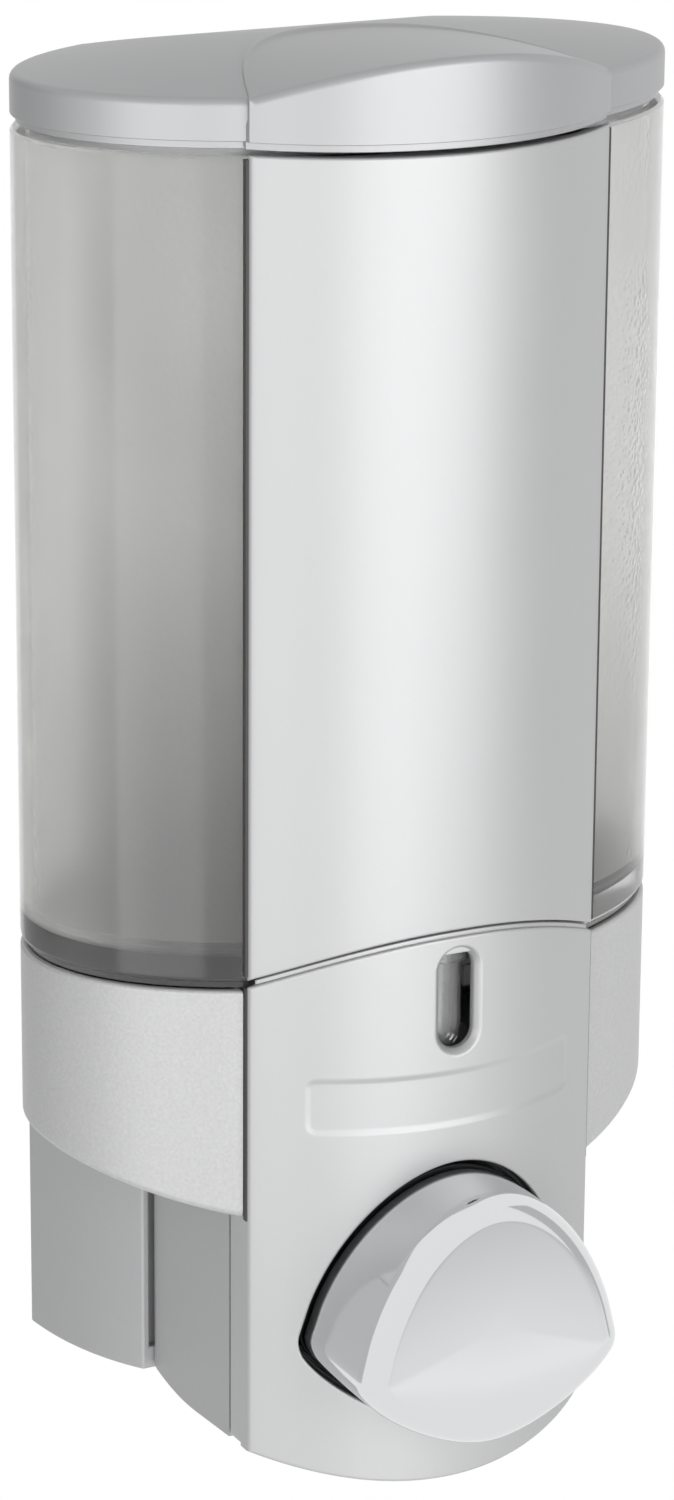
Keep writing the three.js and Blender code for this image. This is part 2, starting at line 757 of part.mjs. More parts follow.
// Rubber wiper ring behind the button opening, clear of the screw posts beside it
const postClearances = postPlaces.map(([x, z]) =>
  turnedOnY(rod(postRadius + clearance, inFront, 0), x, z, smallSteps));
place(caseParts, "button_seal", cut(
  alongZ(
    faceBand(coverWall + clearance, coverWall + clearance + sealThickness, faceHalfWidth),
    -smileDepth, archPeak,
  ).intersect(alongY(drawnIn(shield, -sealWidth), inFront, 0)),
  alongY(drawnIn(shield, buttonGap - clearance), inFront, 0),
  ...postClearances,
), blackRubber);

// Levels of the joint between the bottle's neck and the pump's inlet stem
const gasketTop = neckBottom - clearance;
const flangeTop = gasketTop - gasketThickness - clearance;
const flangeBottom = flangeTop - inletFlangeThickness;
const nutBottom = flangeBottom - clearance - nutLip;

// Pump housing: an open-fronted box behind the panel, with a cradle for the barrel
function housingOutline(inset, rear) {
  const front = returnRear + clearance;
  const cornerY = rear - housingCorner + inset;
  const outline = [point(-faceHalfWidth + inset, front)];
  outline.push(point(faceHalfWidth - inset, front));
  const corner = Math.max(housingCorner - inset, clearance);
  for (let i = 0; i <= filletSteps; i++) {
    const angle = (Math.PI / 2) * (i / filletSteps);
    const x = faceHalfWidth + housingFlare - inset - corner * (1 - Math.cos(angle));
    outline.push(point(x, Math.min(rear, cornerY + corner * Math.sin(angle))));
  }
  const right = outline.slice(2);
  return [...outline, ...right.reverse().map((p) => point(-p.x, p.y))];
}
const heel = [];
for (let i = 0; i <= filletSteps * 2; i++) {
  const share = i / (filletSteps * 2);
  heel.push(point(housingRear - housingHeelLength * (1 - share),
    housingBottom + housingHeelRise * share ** 2));
}
const belowHeel = alongX([
  ...heel,
  point(housingRear + overrun, housingBottom + housingHeelRise),
  point(housingRear + overrun, housingBottom - overrun),
  point(housingRear - housingHeelLength, housingBottom - overrun),
], -ovalHalfWidth, ovalHalfWidth);
const housingInsideBottom = housingBottom + housingHeelRise + housingFloor;
const housingShell = cut(
  alongZ(housingOutline(0, housingRear), housingBottom, housingTop),
  alongZ(housingOutline(housingWall, housingRearInside), housingInsideBottom,
    housingTop + overrun),
  alongZ(housingOutline(housingWall, housingRear - housingHeelLength), housingBottom
    + housingFloor, housingInsideBottom + overrun),
  block(-faceHalfWidth + housingWall, faceHalfWidth - housingWall, returnRear - overrun,
    returnRear + housingWall, housingBottom + housingFloor, housingTop + overrun),
  belowHeel,
);
const cradle = turnedOnY(pipe(barrelRadius + clearance + cradleWall, barrelRadius + clearance,
  housingRearInside - cradleLength, housingRearInside + clearance), 0, pumpAxis)
  .subtract(block(-inletRadius - clearance, inletRadius + clearance, -ovalFront,
    housingRearInside, 0, housingTop));
const nutRoom = block(-nutRadius - clearance, nutRadius + clearance,
  housingRearInside - overrun, housingRear + overrun, nutBottom - clearance,
  housingTop + overrun);
const tabTop = deckBottom - deckBossLength - clearance;
const tabs = [1, -1].map((side) => {
  const outer = side * (faceHalfWidth - housingWall / 2);
  const inner = outer - side * tabReach;
  return block(Math.min(outer, inner), Math.max(outer, inner), deckScrewY - tabLength / 2,
    deckScrewY + tabLength / 2, tabTop - tabThickness, tabTop);
});
const tabHoles = [1, -1].map((side) => turnedOnZ(
  rod(postBore, tabTop - tabThickness - overrun, tabTop + overrun), side * deckScrewX,
  deckScrewY, smallSteps));
const headSeat = housingRear - screwHeadHeight - clearance;
const rearHoles = postPlaces.map(([x, z]) => turnedOnY([
  [0, housingRearInside - overrun],
  [postBore, housingRearInside - overrun],
  [postBore, headSeat],
  [screwHead + clearance, headSeat],
  [screwHead + clearance, housingRear + overrun],
  [0, housingRear + overrun],
], x, z, smallSteps));
const nozzleRadius = outletRadius + clearance + nozzleWall;

place(caseParts, "pump_housing", cut(
  join(housingShell, cradle, ...tabs),
  ...tabHoles,
  ...rearHoles,
  nutRoom,
  turnedOnZ(rod(nozzleRadius + clearance, housingBottom - overrun, nozzleTop + overrun), 0, portY),
), greySilver);

// Screws: four hold the panel to the housing, two hold the housing to the deck
postPlaces.forEach(([x, z], i) => {
  const profile = [
    [0, headSeat - screwLength], [screwShank, headSeat - screwLength], [screwShank, headSeat],
    [screwHead, headSeat], [screwHead, headSeat + screwHeadHeight / 2],
    [screwHead / 2, headSeat + screwHeadHeight], [0, headSeat + screwHeadHeight],
  ];
  place(caseParts, `panel_screw_${i + 1}`, turnedOnY(profile, x, z, smallSteps), steel);
});
[1, -1].forEach((side, i) => {
  const seat = tabTop - tabThickness;
  const profile = [
    [0, seat - screwHeadHeight], [screwHead / 2, seat - screwHeadHeight],
    [screwHead, seat - screwHeadHeight / 2], [screwHead, seat], [screwShank, seat],
    [screwShank, seat + deckScrewLength], [0, seat + deckScrewLength],
  ];
  place(caseParts, `deck_screw_${i + 1}`,
    turnedOnZ(profile, side * deckScrewX, deckScrewY, smallSteps), steel);
});

// Pump barrel with its inlet stem above and outlet stem below
const valveSeatBottom = flangeTop - valveSeatDepth;
const outletSeatTop = outletBottom + valveSeatDepth - clearance;
place(pumpParts, "pump_barrel", cut(
  join(
    turnedOnY(rod(barrelRadius, barrelFront, barrelRear), 0, pumpAxis),
    turnedOnZ(rod(inletRadius, pumpAxis, flangeTop), 0, portY, roundSteps),
    turnedOnZ(rod(inletFlangeRadius, flangeBottom, flangeTop), 0, portY, roundSteps),
    turnedOnZ(rod(outletRadius, outletBottom, pumpAxis), 0, portY, roundSteps),
  ),
  turnedOnY(rod(barrelBore, barrelFront - overrun, barrelRear - barrelEnd), 0, pumpAxis),
  turnedOnZ(rod(portBore, outletBottom - overrun, flangeTop + overrun), 0, portY, smallSteps),
  turnedOnZ(rod(valveSeatRadius, valveSeatBottom, flangeTop + overrun), 0, portY, smallSteps),
  turnedOnZ(rod(valveSeatRadius - clearance, outletBottom - overrun, outletSeatTop), 0, portY,
    smallSteps),
), whitePlastic);

// Screwed cap that closes the barrel's front and guides the rod
const capRear = barrelFront + capWall * 2;
place(pumpParts, "barrel_cap", turnedOnY([
  [rodRadius + clearance, capFront - capGuideLength],
  [capGuideRadius, capFront - capGuideLength],
  [capGuideRadius, capFront],
  [capRadius, capFront],
  [capRadius, capRear],
  [barrelRadius + clearance, capRear],
  [barrelRadius + clearance, barrelFront - clearance],
  [barrelBore, barrelFront - clearance],
  [barrelBore, capFront + capWall],
  [rodRadius + clearance, capFront + capWall],
  [rodRadius + clearance, capFront - capGuideLength],
], 0, pumpAxis), greyPlastic);

// Coupling nut that draws the inlet stem up to the bottle's neck, with a fluted grip
const nutTop = deckBottom - clearance;
const nutBody = turnedOnZ([
  [inletRadius + clearance, nutBottom],
  [nutRadius, nutBottom],
  [nutRadius, nutTop],
  [neckRadius + clearance, nutTop],
  [neckRadius + clearance, nutBottom + nutLip],
  [inletRadius + clearance, nutBottom + nutLip],
  [inletRadius + clearance, nutBottom],
], 0, portY);
const flutes = Array.from({ length: nutFlutes }, (_, i) => {
  const angle = (2 * Math.PI * i) / nutFlutes;
  return turnedOnZ(rod(nutFluteDepth, nutBottom - overrun, nutTop + overrun),
    nutRadius * Math.cos(angle), portY + nutRadius * Math.sin(angle), filletSteps * 2);
});
place(pumpParts, "coupling_nut", cut(nutBody, ...flutes), greyPlastic);

place(pumpParts, "inlet_gasket", turnedOnZ(
  pipe(inletFlangeRadius, neckBore, gasketTop - gasketThickness, gasketTop), 0, portY),
blackRubber);

// Duckbill valves: a flange, then a bill that narrows to a flat slit end
function duckbill(radius, top) {
  const stem = radius - valveFlange / 2;
  const bill = turnedOnZ(rod(stem, top - valveLength, top - valveFlange), 0, portY, smallSteps);
  const wedge = alongX([
    point(portY - stem, top - valveFlange * 2),
    point(portY - valveBillThickness / 2, top - valveLength),
    point(portY + valveBillThickness / 2, top - valveLength),
    point(portY + stem, top - valveFlange * 2),
    point(portY + stem, top),
    point(portY - stem, top),
  ], -stem, stem);
  const bore = turnedOnZ(rod(valveBillThickness, top - valveLength / 2, top + overrun), 0, portY,
    smallSteps);
  const flange = turnedOnZ(rod(radius, top - valveFlange, top), 0, portY, smallSteps);
  return cut(join(bill.intersect(wedge), flange), bore);
}
place(pumpParts, "inlet_valve", duckbill(valveSeatRadius - clearance, flangeTop - clearance),
  whiteRubber);
place(pumpParts, "outlet_valve",
  duckbill(valveSeatRadius - clearance * 2, outletSeatTop - clearance), whiteRubber);

// Nozzle pushed on the outlet stem, ending behind the panel's lower edge
const stemEnd = outletBottom - clearance;
place(pumpParts, "outlet_nozzle", turnedOnZ([
  [portBore, nozzleTip],
  [nozzleTipRadius, nozzleTip],
  [nozzleRadius, stemEnd],
  [nozzleRadius, nozzleTop],
  [outletRadius + clearance, nozzleTop],
  [outletRadius + clearance, stemEnd],
  [portBore, stemEnd],
  [portBore, nozzleTip],
], 0, portY), greyPlastic);

// Push button: a chromed shell with a rolled front edge and a socket for the plunger rod
const shieldRing = (inset, y) =>
  drawnIn(buttonOutline, inset).map((p) => new THREE.Vector3(p.x, y, p.y));
const buttonRings = [shieldRing(0, buttonSkirtEnd)];
for (let i = 0; i <= filletSteps; i++) {
  const angle = (Math.PI / 2) * (i / filletSteps);
  buttonRings.push(shieldRing(buttonFillet * (1 - Math.cos(angle)),
    buttonFace + buttonFillet * (1 - Math.sin(angle))));
}
const buttonInside = buttonFace + buttonWall;
const rodBossEnd = capFront - capGuideLength - pressedGap - buttonTravel;
place(buttonParts, "push_button", cut(
  join(
    cut(loft(buttonRings), loft([
      shieldRing(buttonWall, buttonSkirtEnd + overrun),
      shieldRing(buttonWall, buttonInside + buttonFillet),
      shieldRing(buttonWall + buttonFillet, buttonInside),
    ])),
    turnedOnY(rod(rodBossRadius, buttonInside - buttonWall / 2, rodBossEnd), 0, pumpAxis),
  ),
  turnedOnY(rod(rodRadius + clearance, rodSeat, rodBossEnd + overrun), 0, pumpAxis),
), chrome);

const pistonFront = capFront + capWall + clearance;
const pistonRear = pistonFront + pistonLength;
place(buttonParts, "plunger_rod", turnedOnY(
  rod(rodRadius, rodSeat + clearance, pistonFront + pistonSocket), 0, pumpAxis), whitePlastic);

const grooveStart = pistonFront + (pistonLength - pistonGrooveWidth) / 2;
place(buttonParts, "piston", turnedOnY([
  [0, pistonFront + pistonSocket + clearance],
  [rodRadius + clearance, pistonFront + pistonSocket + clearance],
  [rodRadius + clearance, pistonFront],
  [pistonRadius, pistonFront],
  [pistonRadius, grooveStart],
  [pistonGrooveRadius, grooveStart],
  [pistonGrooveRadius, grooveStart + pistonGrooveWidth],
  [pistonRadius, grooveStart + pistonGrooveWidth],
  [pistonRadius, pistonRear],
  [0, pistonRear],
], 0, pumpAxis), whitePlastic);

place(buttonParts, "piston_seal", turnedOnY(pipe(barrelBore - clearance,
  pistonGrooveRadius + clearance, grooveStart + clearance,
  grooveStart + pistonGrooveWidth - clearance), 0, pumpAxis), blackRubber);

// Return spring: one unbroken wire, wound round the rod between the cap and the button
const springFront = buttonInside + clearance;
const springRear = capFront - clearance;
function springSolid() {
  const steps = springCurls * springStepsPerCurl;
  const start = springFront + springWire * 1.5;
  const pitchRun = springRear - springWire * 1.5 - start;
  const centre = (t) => {
    const angle = 2 * Math.PI * springCurls * t;
    return new THREE.Vector3(springRadius * Math.cos(angle), start + pitchRun * t,
      pumpAxis + springRadius * Math.sin(angle));
  };
  const path = [];
  for (let i = 0; i <= steps; i++) path.push(centre(i / steps));
  const first = path[0].clone();
  const last = path[steps].clone();
  path.unshift(first.clone().setY(springFront));
  path.splice(1, 0, first.clone().setY(springFront + springWire));
  path.push(last.clone().setY(springRear - springWire));
  path.push(last.clone().setY(springRear));
  let side = new THREE.Vector3(1, 0, 0);
  const rings = path.map((p, i) => {
    const along = path[Math.min(i + 1, path.length - 1)].clone()
      .sub(path[Math.max(i - 1, 0)]).normalize();
    side = side.sub(along.clone().multiplyScalar(side.dot(along))).normalize();
    const up = along.clone().cross(side);
    return Array.from({ length: springSides }, (_, k) => {
      const angle = (2 * Math.PI * k) / springSides;
      return p.clone()
        .addScaledVector(side, (springWire / 2) * Math.cos(angle))
        .addScaledVector(up, (springWire / 2) * Math.sin(angle));
    });
  });
  let least = Infinity;
  path.forEach((p, i) => path.slice(i + springStepsPerCurl / 2).forEach((q) => {
    least = Math.min(least, p.distanceTo(q) - springWire);
  }));
  console.log(`return spring: least gap to itself ${least.toFixed(2)} mm`);
  return loft(rings);
}
place(buttonParts, "return_spring", springSolid(), steel);

// Lid: a domed oval cap whose leaf-shaped crown rises to meet the curved front
const domeTop = (share) => lidRim + lidDome * (1 - share ** 2);
const lidRings = [
  ringAt(ovalOutline(lidLipInset), lidBottom),
  ringAt(ovalOutline(lidLipInset), lidBottom + lidLipHeight),
  ringAt(ovalOutline(0), lidBottom + lidLipHeight),
];
for (let i = 0; i <= filletSteps; i++) {
  const angle = (Math.PI / 2) * (i / filletSteps);
  lidRings.push(ringAt(ovalOutline(lidFillet * (1 - Math.cos(angle))),
    lidRim - lidFillet * (1 - Math.sin(angle))));
}
for (const share of lidDomeShares) {
  const outline = ovalOutline(lidFillet).map((p) => p.clone().multiplyScalar(share));
  lidRings.push(ringAt(outline, domeTop(share)));
}
const lidBase = loft(lidRings);

// How far out a plan point lies on the lid, as a share of the way to the oval's edge
function reachShare(x, y) {
  const depth = y < 0 ? ovalFront : ovalRear;
  return Math.min(1, Math.hypot(x / ovalHalfWidth, y / depth));
}

function crownSolid(bottom, frontInset, height) {
  const grid = [];
  const floor = [];
  const crownDepth = crownRear + faceCornerDepth;
  for (let i = 0; i <= crownAcross; i++) {
    const across = (2 * i) / crownAcross - 1;
    const x = across * faceHalfWidth;
    const front = faceY(x, frontInset);
    const rear = Math.max(front + clearance / 2,
      crownRear - crownDepth * Math.abs(across) ** crownRearPower);
    for (let j = 0; j <= crownDeep; j++) {
      const back = j / crownDeep;
      const y = front + (rear - front) * back;
      const frontZ = lidRim + crownRise * (1 - Math.abs(across) ** crownPower);
      const rearZ = domeTop(reachShare(x, y)) + crownStep * (1 - across ** 2);
      grid.push(new THREE.Vector3(x, y, height ?? frontZ + (rearZ - frontZ) * back));
      floor.push(new THREE.Vector3(x, y, bottom));
    }
  }
  const vertices = [...grid, ...floor];
  const row = crownDeep + 1;
  const index = [];
  const quad = (a, b, c, d) => index.push(a, b, c, a, c, d);
  for (let i = 0; i < crownAcross; i++) {
    for (let j = 0; j < crownDeep; j++) {
      const at = i * row + j;
      quad(at, at + row, at + row + 1, at + 1);
      const low = at + grid.length;
      quad(low, low + 1, low + row + 1, low + row);
    }
    const front = i * row;
    const rear = front + crownDeep;
    quad(front, front + grid.length, front + row + grid.length, front + row);
    quad(rear, rear + row, rear + row + grid.length, rear + grid.length);
  }
  for (let j = 0; j < crownDeep; j++) {
    const right = crownAcross * row + j;
    quad(j, j + 1, j + 1 + grid.length, j + grid.length);
    quad(right, right + grid.length, right + 1 + grid.length, right + 1);
  }
  const geometry = new THREE.BufferGeometry().setFromPoints(vertices);
  geometry.setIndex(index);
  return solid(geometry);
}

const ribOuter = bottleWall + ribClearance;
const ribInner = ribOuter + ribWall;
const locatingRib = cut(
  oval(ribOuter, ribBottom, lidHollowTop + clearance, ribRear),
  oval(ribInner, ribBottom - overrun, lidHollowTop, ribRear - ribWall),
);
const knuckle = join(
  rodOnX(knuckleRadius, -knuckleHalfLength, knuckleHalfLength, hingeY, hingeZ),
  block(-knuckleHalfLength, knuckleHalfLength, hingeY - knuckleRadius, hingeY, hingeZ,
    lidRim - lidFillet),
);
const earRoom = hingeReach + clearance * 2;
const hingePocket = block(-earRoom, earRoom, ribRear + clearance, rearFlat + overrun,
  lidBottom - overrun, hingeZ + knuckleRadius + clearance);

place(lidParts, "lid", cut(
  join(
    cut(
      join(lidBase, crownSolid(lidBottom + lidLipHeight, 0), crownSolid(lidBottom, lidLipInset,
        lidBottom + lidLipHeight * 2)),
      oval(lidWall, lidBottom - overrun, lidHollowTop),
      hingePocket,
    ),
    locatingRib,
    knuckle,
  ),
  rodOnX(pinRadius + hingeClearance, -hingeReach, hingeReach, hingeY, hingeZ),
), satinLid);

// The origin lies on the wall, behind the middle of the upper tape pad.
dispenser.children.forEach((part) => part.position.set(0, -wallPlane, -upperTapeCentre));

export default dispenser;
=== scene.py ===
# A wall-hung shower dispenser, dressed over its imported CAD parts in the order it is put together:
# bracket, bottle, skirt, pump, housing, covers, button and lid. Sizes are in millimetres, measured
# from the bottle's middle towards the wall, and up from the corners of the lower panel's foot.
import math

import bmesh
import bpy
from mathutils import Matrix, Vector


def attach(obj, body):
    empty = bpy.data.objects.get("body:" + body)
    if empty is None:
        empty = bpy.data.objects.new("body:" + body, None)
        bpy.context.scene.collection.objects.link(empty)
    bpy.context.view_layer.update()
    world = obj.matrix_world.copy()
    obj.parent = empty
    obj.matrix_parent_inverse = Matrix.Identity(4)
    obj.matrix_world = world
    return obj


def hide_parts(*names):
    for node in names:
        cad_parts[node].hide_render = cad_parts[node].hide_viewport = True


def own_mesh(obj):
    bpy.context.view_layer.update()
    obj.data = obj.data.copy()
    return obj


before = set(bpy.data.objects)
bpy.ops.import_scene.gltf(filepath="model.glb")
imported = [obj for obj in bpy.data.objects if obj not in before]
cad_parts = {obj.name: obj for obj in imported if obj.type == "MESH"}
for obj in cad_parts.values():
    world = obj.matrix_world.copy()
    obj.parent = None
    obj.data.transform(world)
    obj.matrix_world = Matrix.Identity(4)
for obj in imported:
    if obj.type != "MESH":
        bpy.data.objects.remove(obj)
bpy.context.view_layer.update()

# The studio: a plain pale floor well below the dispenser, white all round, one large soft lamp in
# front with a weaker one on the left, grey cards that only a mirror sees, and the camera where the
# photograph was taken from. The studio alone is measured in metres.
scene = bpy.context.scene
scene.view_settings.view_transform = "Standard"
FLOOR = -0.62
LAMPS_AIM = (0, -0.02, -0.02)


def add(tree, kind, sockets=None, **settings):
    """A node with its settings, and its sockets set to values or joined to other sockets."""
    made = tree.nodes.new(kind)
    for key, value in settings.items():
        setattr(made, key, value)
    for key, value in (sockets or {}).items():
        if isinstance(value, bpy.types.NodeSocket):
            tree.links.new(value, made.inputs[key])
        else:
            made.inputs[key].default_value = value
    return made


def reckoned(tree, operation, *values):
    """What a Math node makes of one or two values or sockets."""
    return add(tree, "ShaderNodeMath", dict(enumerate(values)), operation=operation).outputs[0]


def ramp(tree, value, start, end, low=0.0, high=1.0, kind="LINEAR"):
    """A value turned into one between low and high, as it goes from start to end."""
    return add(tree, "ShaderNodeMapRange", {"Value": value, "From Min": start, "From Max": end,
                                            "To Min": low, "To Max": high},
               interpolation_type=kind).outputs[0]


def white_to_the_eye(tree, lit, shader_kind):
    """White wherever it is looked at or mirrored, and a plain level where it lights the object."""
    path = add(tree, "ShaderNodeLightPath").outputs
    seen = path["Is Camera Ray"]
    for kind in ("Is Glossy Ray", "Is Transmission Ray"):
        seen = reckoned(tree, "MAXIMUM", seen, path[kind])
    white = add(tree, shader_kind, {"Color": (1, 1, 1, 1), "Strength": 1.0})
    return add(tree, "ShaderNodeMixShader", {"Fac": seen, 1: lit, 2: white.outputs[0]}).outputs[0]


world = bpy.data.worlds.new("white_studio")
scene.world = world
world.use_nodes = True
room = world.node_tree
room.nodes.clear()
soft = add(room, "ShaderNodeBackground", {"Color": (0.97, 0.98, 1.0, 1), "Strength": 0.33})
room_light = white_to_the_eye(room, soft.outputs[0], "ShaderNodeBackground")
add(room, "ShaderNodeOutputWorld", {"Surface": room_light})


def studio_board(name, corners, finish):
    """A flat four-sided sheet of the studio."""
    mesh = bpy.data.meshes.new(name)
    mesh.from_pydata(corners, [], [(0, 1, 2, 3)])
    mesh.materials.append(finish)
    made = bpy.data.objects.new(name, mesh)
    scene.collection.objects.link(made)
    return made


floor_paint = bpy.data.materials.new("pale_floor")
floor_paint.use_nodes = True
boards = floor_paint.node_tree
pale = boards.nodes["Principled BSDF"]
pale.inputs["Base Color"].default_value = (0.9, 0.9, 0.9, 1)
pale.inputs["Roughness"].default_value = 0.9
boards.links.new(white_to_the_eye(boards, pale.outputs[0], "ShaderNodeEmission"),
                 boards.nodes["Material Output"].inputs["Surface"])
studio_board("floor", [(x, y, FLOOR) for x, y in ((-4, -4), (4, -4), (4, 4), (-4, 4))], floor_paint)


def soft_lamp(name, place, width, height, watts):
    """A rectangular soft box at a place, turned towards the dispenser."""
    lamp = bpy.data.lights.new(name, "AREA")
    lamp.shape = "RECTANGLE"
    lamp.size, lamp.size_y = width, height
    lamp.energy = watts
    stand = bpy.data.objects.new(name, lamp)
    stand.location = place
    way = Vector(LAMPS_AIM) - Vector(place)
    stand.rotation_euler = way.to_track_quat("-Z", "Y").to_euler()
    scene.collection.objects.link(stand)
    return stand


lamps = (soft_lamp("key_front", (0.14, -1.25, 0.0), 1.4, 1.2, 11.7),
         soft_lamp("fill_left", (-1.0, -0.75, -0.1), 0.8, 1.0, 4.0))


CARD_FOOT, TONE_TOP = -0.6, -0.3  # the cards' lower edge, and where their tone stops changing


def grey_card(name, painted_foot_shade, head_tone, left, right, top=0.9):
    """An upright grey card that only mirrors see: its tone changes from the floor upwards."""
    paper = bpy.data.materials.new(name)
    paper.use_nodes = True
    tree = paper.node_tree
    tree.nodes.clear()
    place = add(tree, "ShaderNodeTexCoord").outputs["Object"]
    height = add(tree, "ShaderNodeSeparateXYZ", {0: place}).outputs["Z"]
    tone = ramp(tree, height, FLOOR, TONE_TOP, painted_foot_shade, head_tone)
    glow = add(tree, "ShaderNodeEmission", {"Color": (1, 1, 1, 1), "Strength": tone})
    add(tree, "ShaderNodeOutputMaterial", {"Surface": glow.outputs[0]})
    corners = [(*left, CARD_FOOT), (*right, CARD_FOOT), (*right, top), (*left, top)]
    card = studio_board(name, corners, paper)
    card.visible_camera = card.visible_transmission = False
    card.visible_diffuse = card.visible_shadow = False


grey_card("card_behind_left", 0.7, 0.6, (-1.7, 0.5), (-0.2, 1.5))
grey_card("card_front_right", 1.15, 0.62, (0.2, -1.0), (1.5, -0.55), -0.3)
grey_card("card_right", 0.6, 0.6, (0.95, -0.9), (1.6, -0.4))

FOCAL_LENGTH, PHOTO_HEIGHT = 4969.8, 1500.0  # both in the photograph's pixels
CAMERA_PLACE = (-0.316914, -0.643537, 0.204913)
camera_data = bpy.data.cameras.new("photo_camera")
camera_data.sensor_fit = "VERTICAL"
camera_data.sensor_height = 36.0
camera_data.lens = camera_data.sensor_height * FOCAL_LENGTH / PHOTO_HEIGHT
camera = bpy.data.objects.new("photo_camera", camera_data)
turn, tip, roll = math.radians(-27.202), math.radians(17.589), math.radians(0.391)
back = Vector((math.sin(turn) * math.cos(tip), -math.cos(turn) * math.cos(tip), math.sin(tip)))
level = Vector((math.cos(turn), math.sin(turn), 0.0))
upright = back.cross(level)
across = math.cos(roll) * level + math.sin(roll) * upright
upright = math.cos(roll) * upright - math.sin(roll) * level
aim = Matrix((across, upright, back)).transposed().to_4x4()
camera.matrix_world = Matrix.Translation(CAMERA_PLACE) @ aim
scene.collection.objects.link(camera)
scene.camera = camera

# Wall bracket: one moulding in plain satin silver, a plate with a dovetail tongue that carries the
# dispenser and a hollow foot that backs the pump housing. Two foam pads stick it to the wall.
WALL, PAD = 27.0, 110.0  # the wall behind the bottle's middle, and the height of the upper pad
SKIN = 2.2  # the wall thickness of the foot, and of the bottle, housing and lid after it
SPLIT = math.radians(32)  # faces that meet at a sharper angle than this keep a crisp edge
FOOT_SIDE = ((30.8, 2.2), (37.6, 12), (38.6, 26))  # control points of its curve, seen from above
FOOT_BOTTOM, FOOT_TOP = 1.5, 42
TAPE = 1  # the pads' thickness


def in_frame(x, y, z):
    """A place in the maker's millimetres, as metres from the upper pad's middle on the wall."""
    return (x / 1000, (y - WALL) / 1000, (z - PAD) / 1000)


def corner_normals(mesh):
    """Broad faces stay even and their rounded edges turn smoothly, as on a moulded piece."""
    beside = {}
    for face in mesh.polygons:
        for corner in face.vertices:
            beside.setdefault(corner, []).append((face.normal.copy(), face.area))
    limit = math.cos(SPLIT)
    turned_out = []
    for face in mesh.polygons:
        own = face.normal.copy()
        for corner in face.vertices:
            total = Vector()
            for normal, area in beside[corner]:
                if own.dot(normal) > limit:
                    total += normal * area
            turned_out.append(total.normalized() if total.length else own)
    return turned_out


def shaded(mesh, normals):
    mesh.polygons.foreach_set("use_smooth", [True] * len(mesh.polygons))
    mesh.normals_split_custom_set(normals)
    return mesh


def blank(name, skins):
    """An unshaded solid from skins of points and faces, ready to be cut, welded or rounded."""
    work = bmesh.new()
    for points, faces in skins:
        corners = [work.verts.new(in_frame(*p)) for p in points]
        for face in faces:
            work.faces.new([corners[i] for i in face])
    bmesh.ops.remove_doubles(work, verts=work.verts, dist=2e-6)
    bmesh.ops.recalc_face_normals(work, faces=work.faces)
    mesh = bpy.data.meshes.new(name)
    work.to_mesh(mesh)
    work.free()
    piece = bpy.data.objects.new(name, mesh)
    scene.collection.objects.link(piece)
    return piece


def tool(*skins):
    """A blank that is only there to cut another piece, or to be welded to it."""
    return blank("tool", skins)


def worked(piece, how, *tools):
    """Cuts tools out of a piece, or welds them on, one after the other."""
    for each in tools:
        step = piece.modifiers.new(how, "BOOLEAN")
        step.operation, step.solver, step.object = how, "EXACT", each
        seen = bpy.context.evaluated_depsgraph_get()
        piece.data = bpy.data.meshes.new_from_object(piece.evaluated_get(seen))
        piece.modifiers.clear()
        bpy.data.objects.remove(each)


def rounded(piece, edge=0.0, steps=3):
    """Rounds every crisp edge by a small radius, then shades the piece."""
    work = bmesh.new()
    work.from_mesh(piece.data)
    if edge:
        crisp = [e for e in work.edges
                 if len(e.link_faces) == 2 and e.calc_face_angle(0) > math.radians(40)]
        bmesh.ops.bevel(work, geom=crisp, offset=edge / 1000, segments=steps, profile=0.5,
                        affect="EDGES", clamp_overlap=True)
    work.to_mesh(piece.data)
    work.free()
    shaded(piece.data, corner_normals(piece.data))
    return piece


def fitted(piece, finish, slot, body, *stands_for):
    """Gives a finished piece its material, and hangs it on the body that it moves with."""
    if finish is not None:
        piece.data.materials.clear()
        piece.data.materials.append(finish)
    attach(piece, body)
    if stands_for:
        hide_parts(*stands_for)


def stacked(rings, closed=True):
    """A skin laid over rings of equal count, from the first to the last, closed at its ends."""
    count = len(rings[0])
    points = [p for ring in rings for p in ring]
    faces = [(k * count + i, k * count + (i + 1) % count, (k + 1) * count + (i + 1) % count,
              (k + 1) * count + i) for k in range(len(rings) - 1) for i in range(count)]
    if closed:
        faces += [tuple(reversed(range(count))), tuple(range(len(points) - count, len(points)))]
    return points, faces


def box(x0, x1, y0, y1, z0, z1):
    return stacked([[(x0, y0, z), (x1, y0, z), (x1, y1, z), (x0, y1, z)] for z in (z0, z1)])


def dovetail(front_half, front, rear_half, rear, z):
    """The bracket's tongue in plan, or a groove that clears it."""
    return [(-front_half, front, z), (front_half, front, z), (rear_half, rear, z),
            (-rear_half, rear, z)]


FLOAT, COLOUR = "NodeSocketFloat", "NodeSocketColor"


def skin_group(name, *inputs):
    """An empty shader group for a plastic's skin, with its named inputs."""
    group = bpy.data.node_groups.new(name, "ShaderNodeTree")
    for label, kind, value in inputs:
        group.interface.new_socket(label, in_out="INPUT", socket_type=kind).default_value = value
    for label, kind in (("Colour", COLOUR), ("Roughness", FLOAT), ("Height", FLOAT)):
        group.interface.new_socket(label, in_out="OUTPUT", socket_type=kind)
    return group, add(group, "NodeGroupInput").outputs


def noise(tree, place, scale, detail):
    return add(tree, "ShaderNodeTexNoise", {"Vector": place, "Scale": scale,
                                            "Detail": detail}).outputs["Fac"]


def spread(tree, value, amount):
    """A noise value from 0 to 1, as a change of plus or minus half the amount."""
    return reckoned(tree, "MULTIPLY", reckoned(tree, "SUBTRACT", value, 0.5), amount)


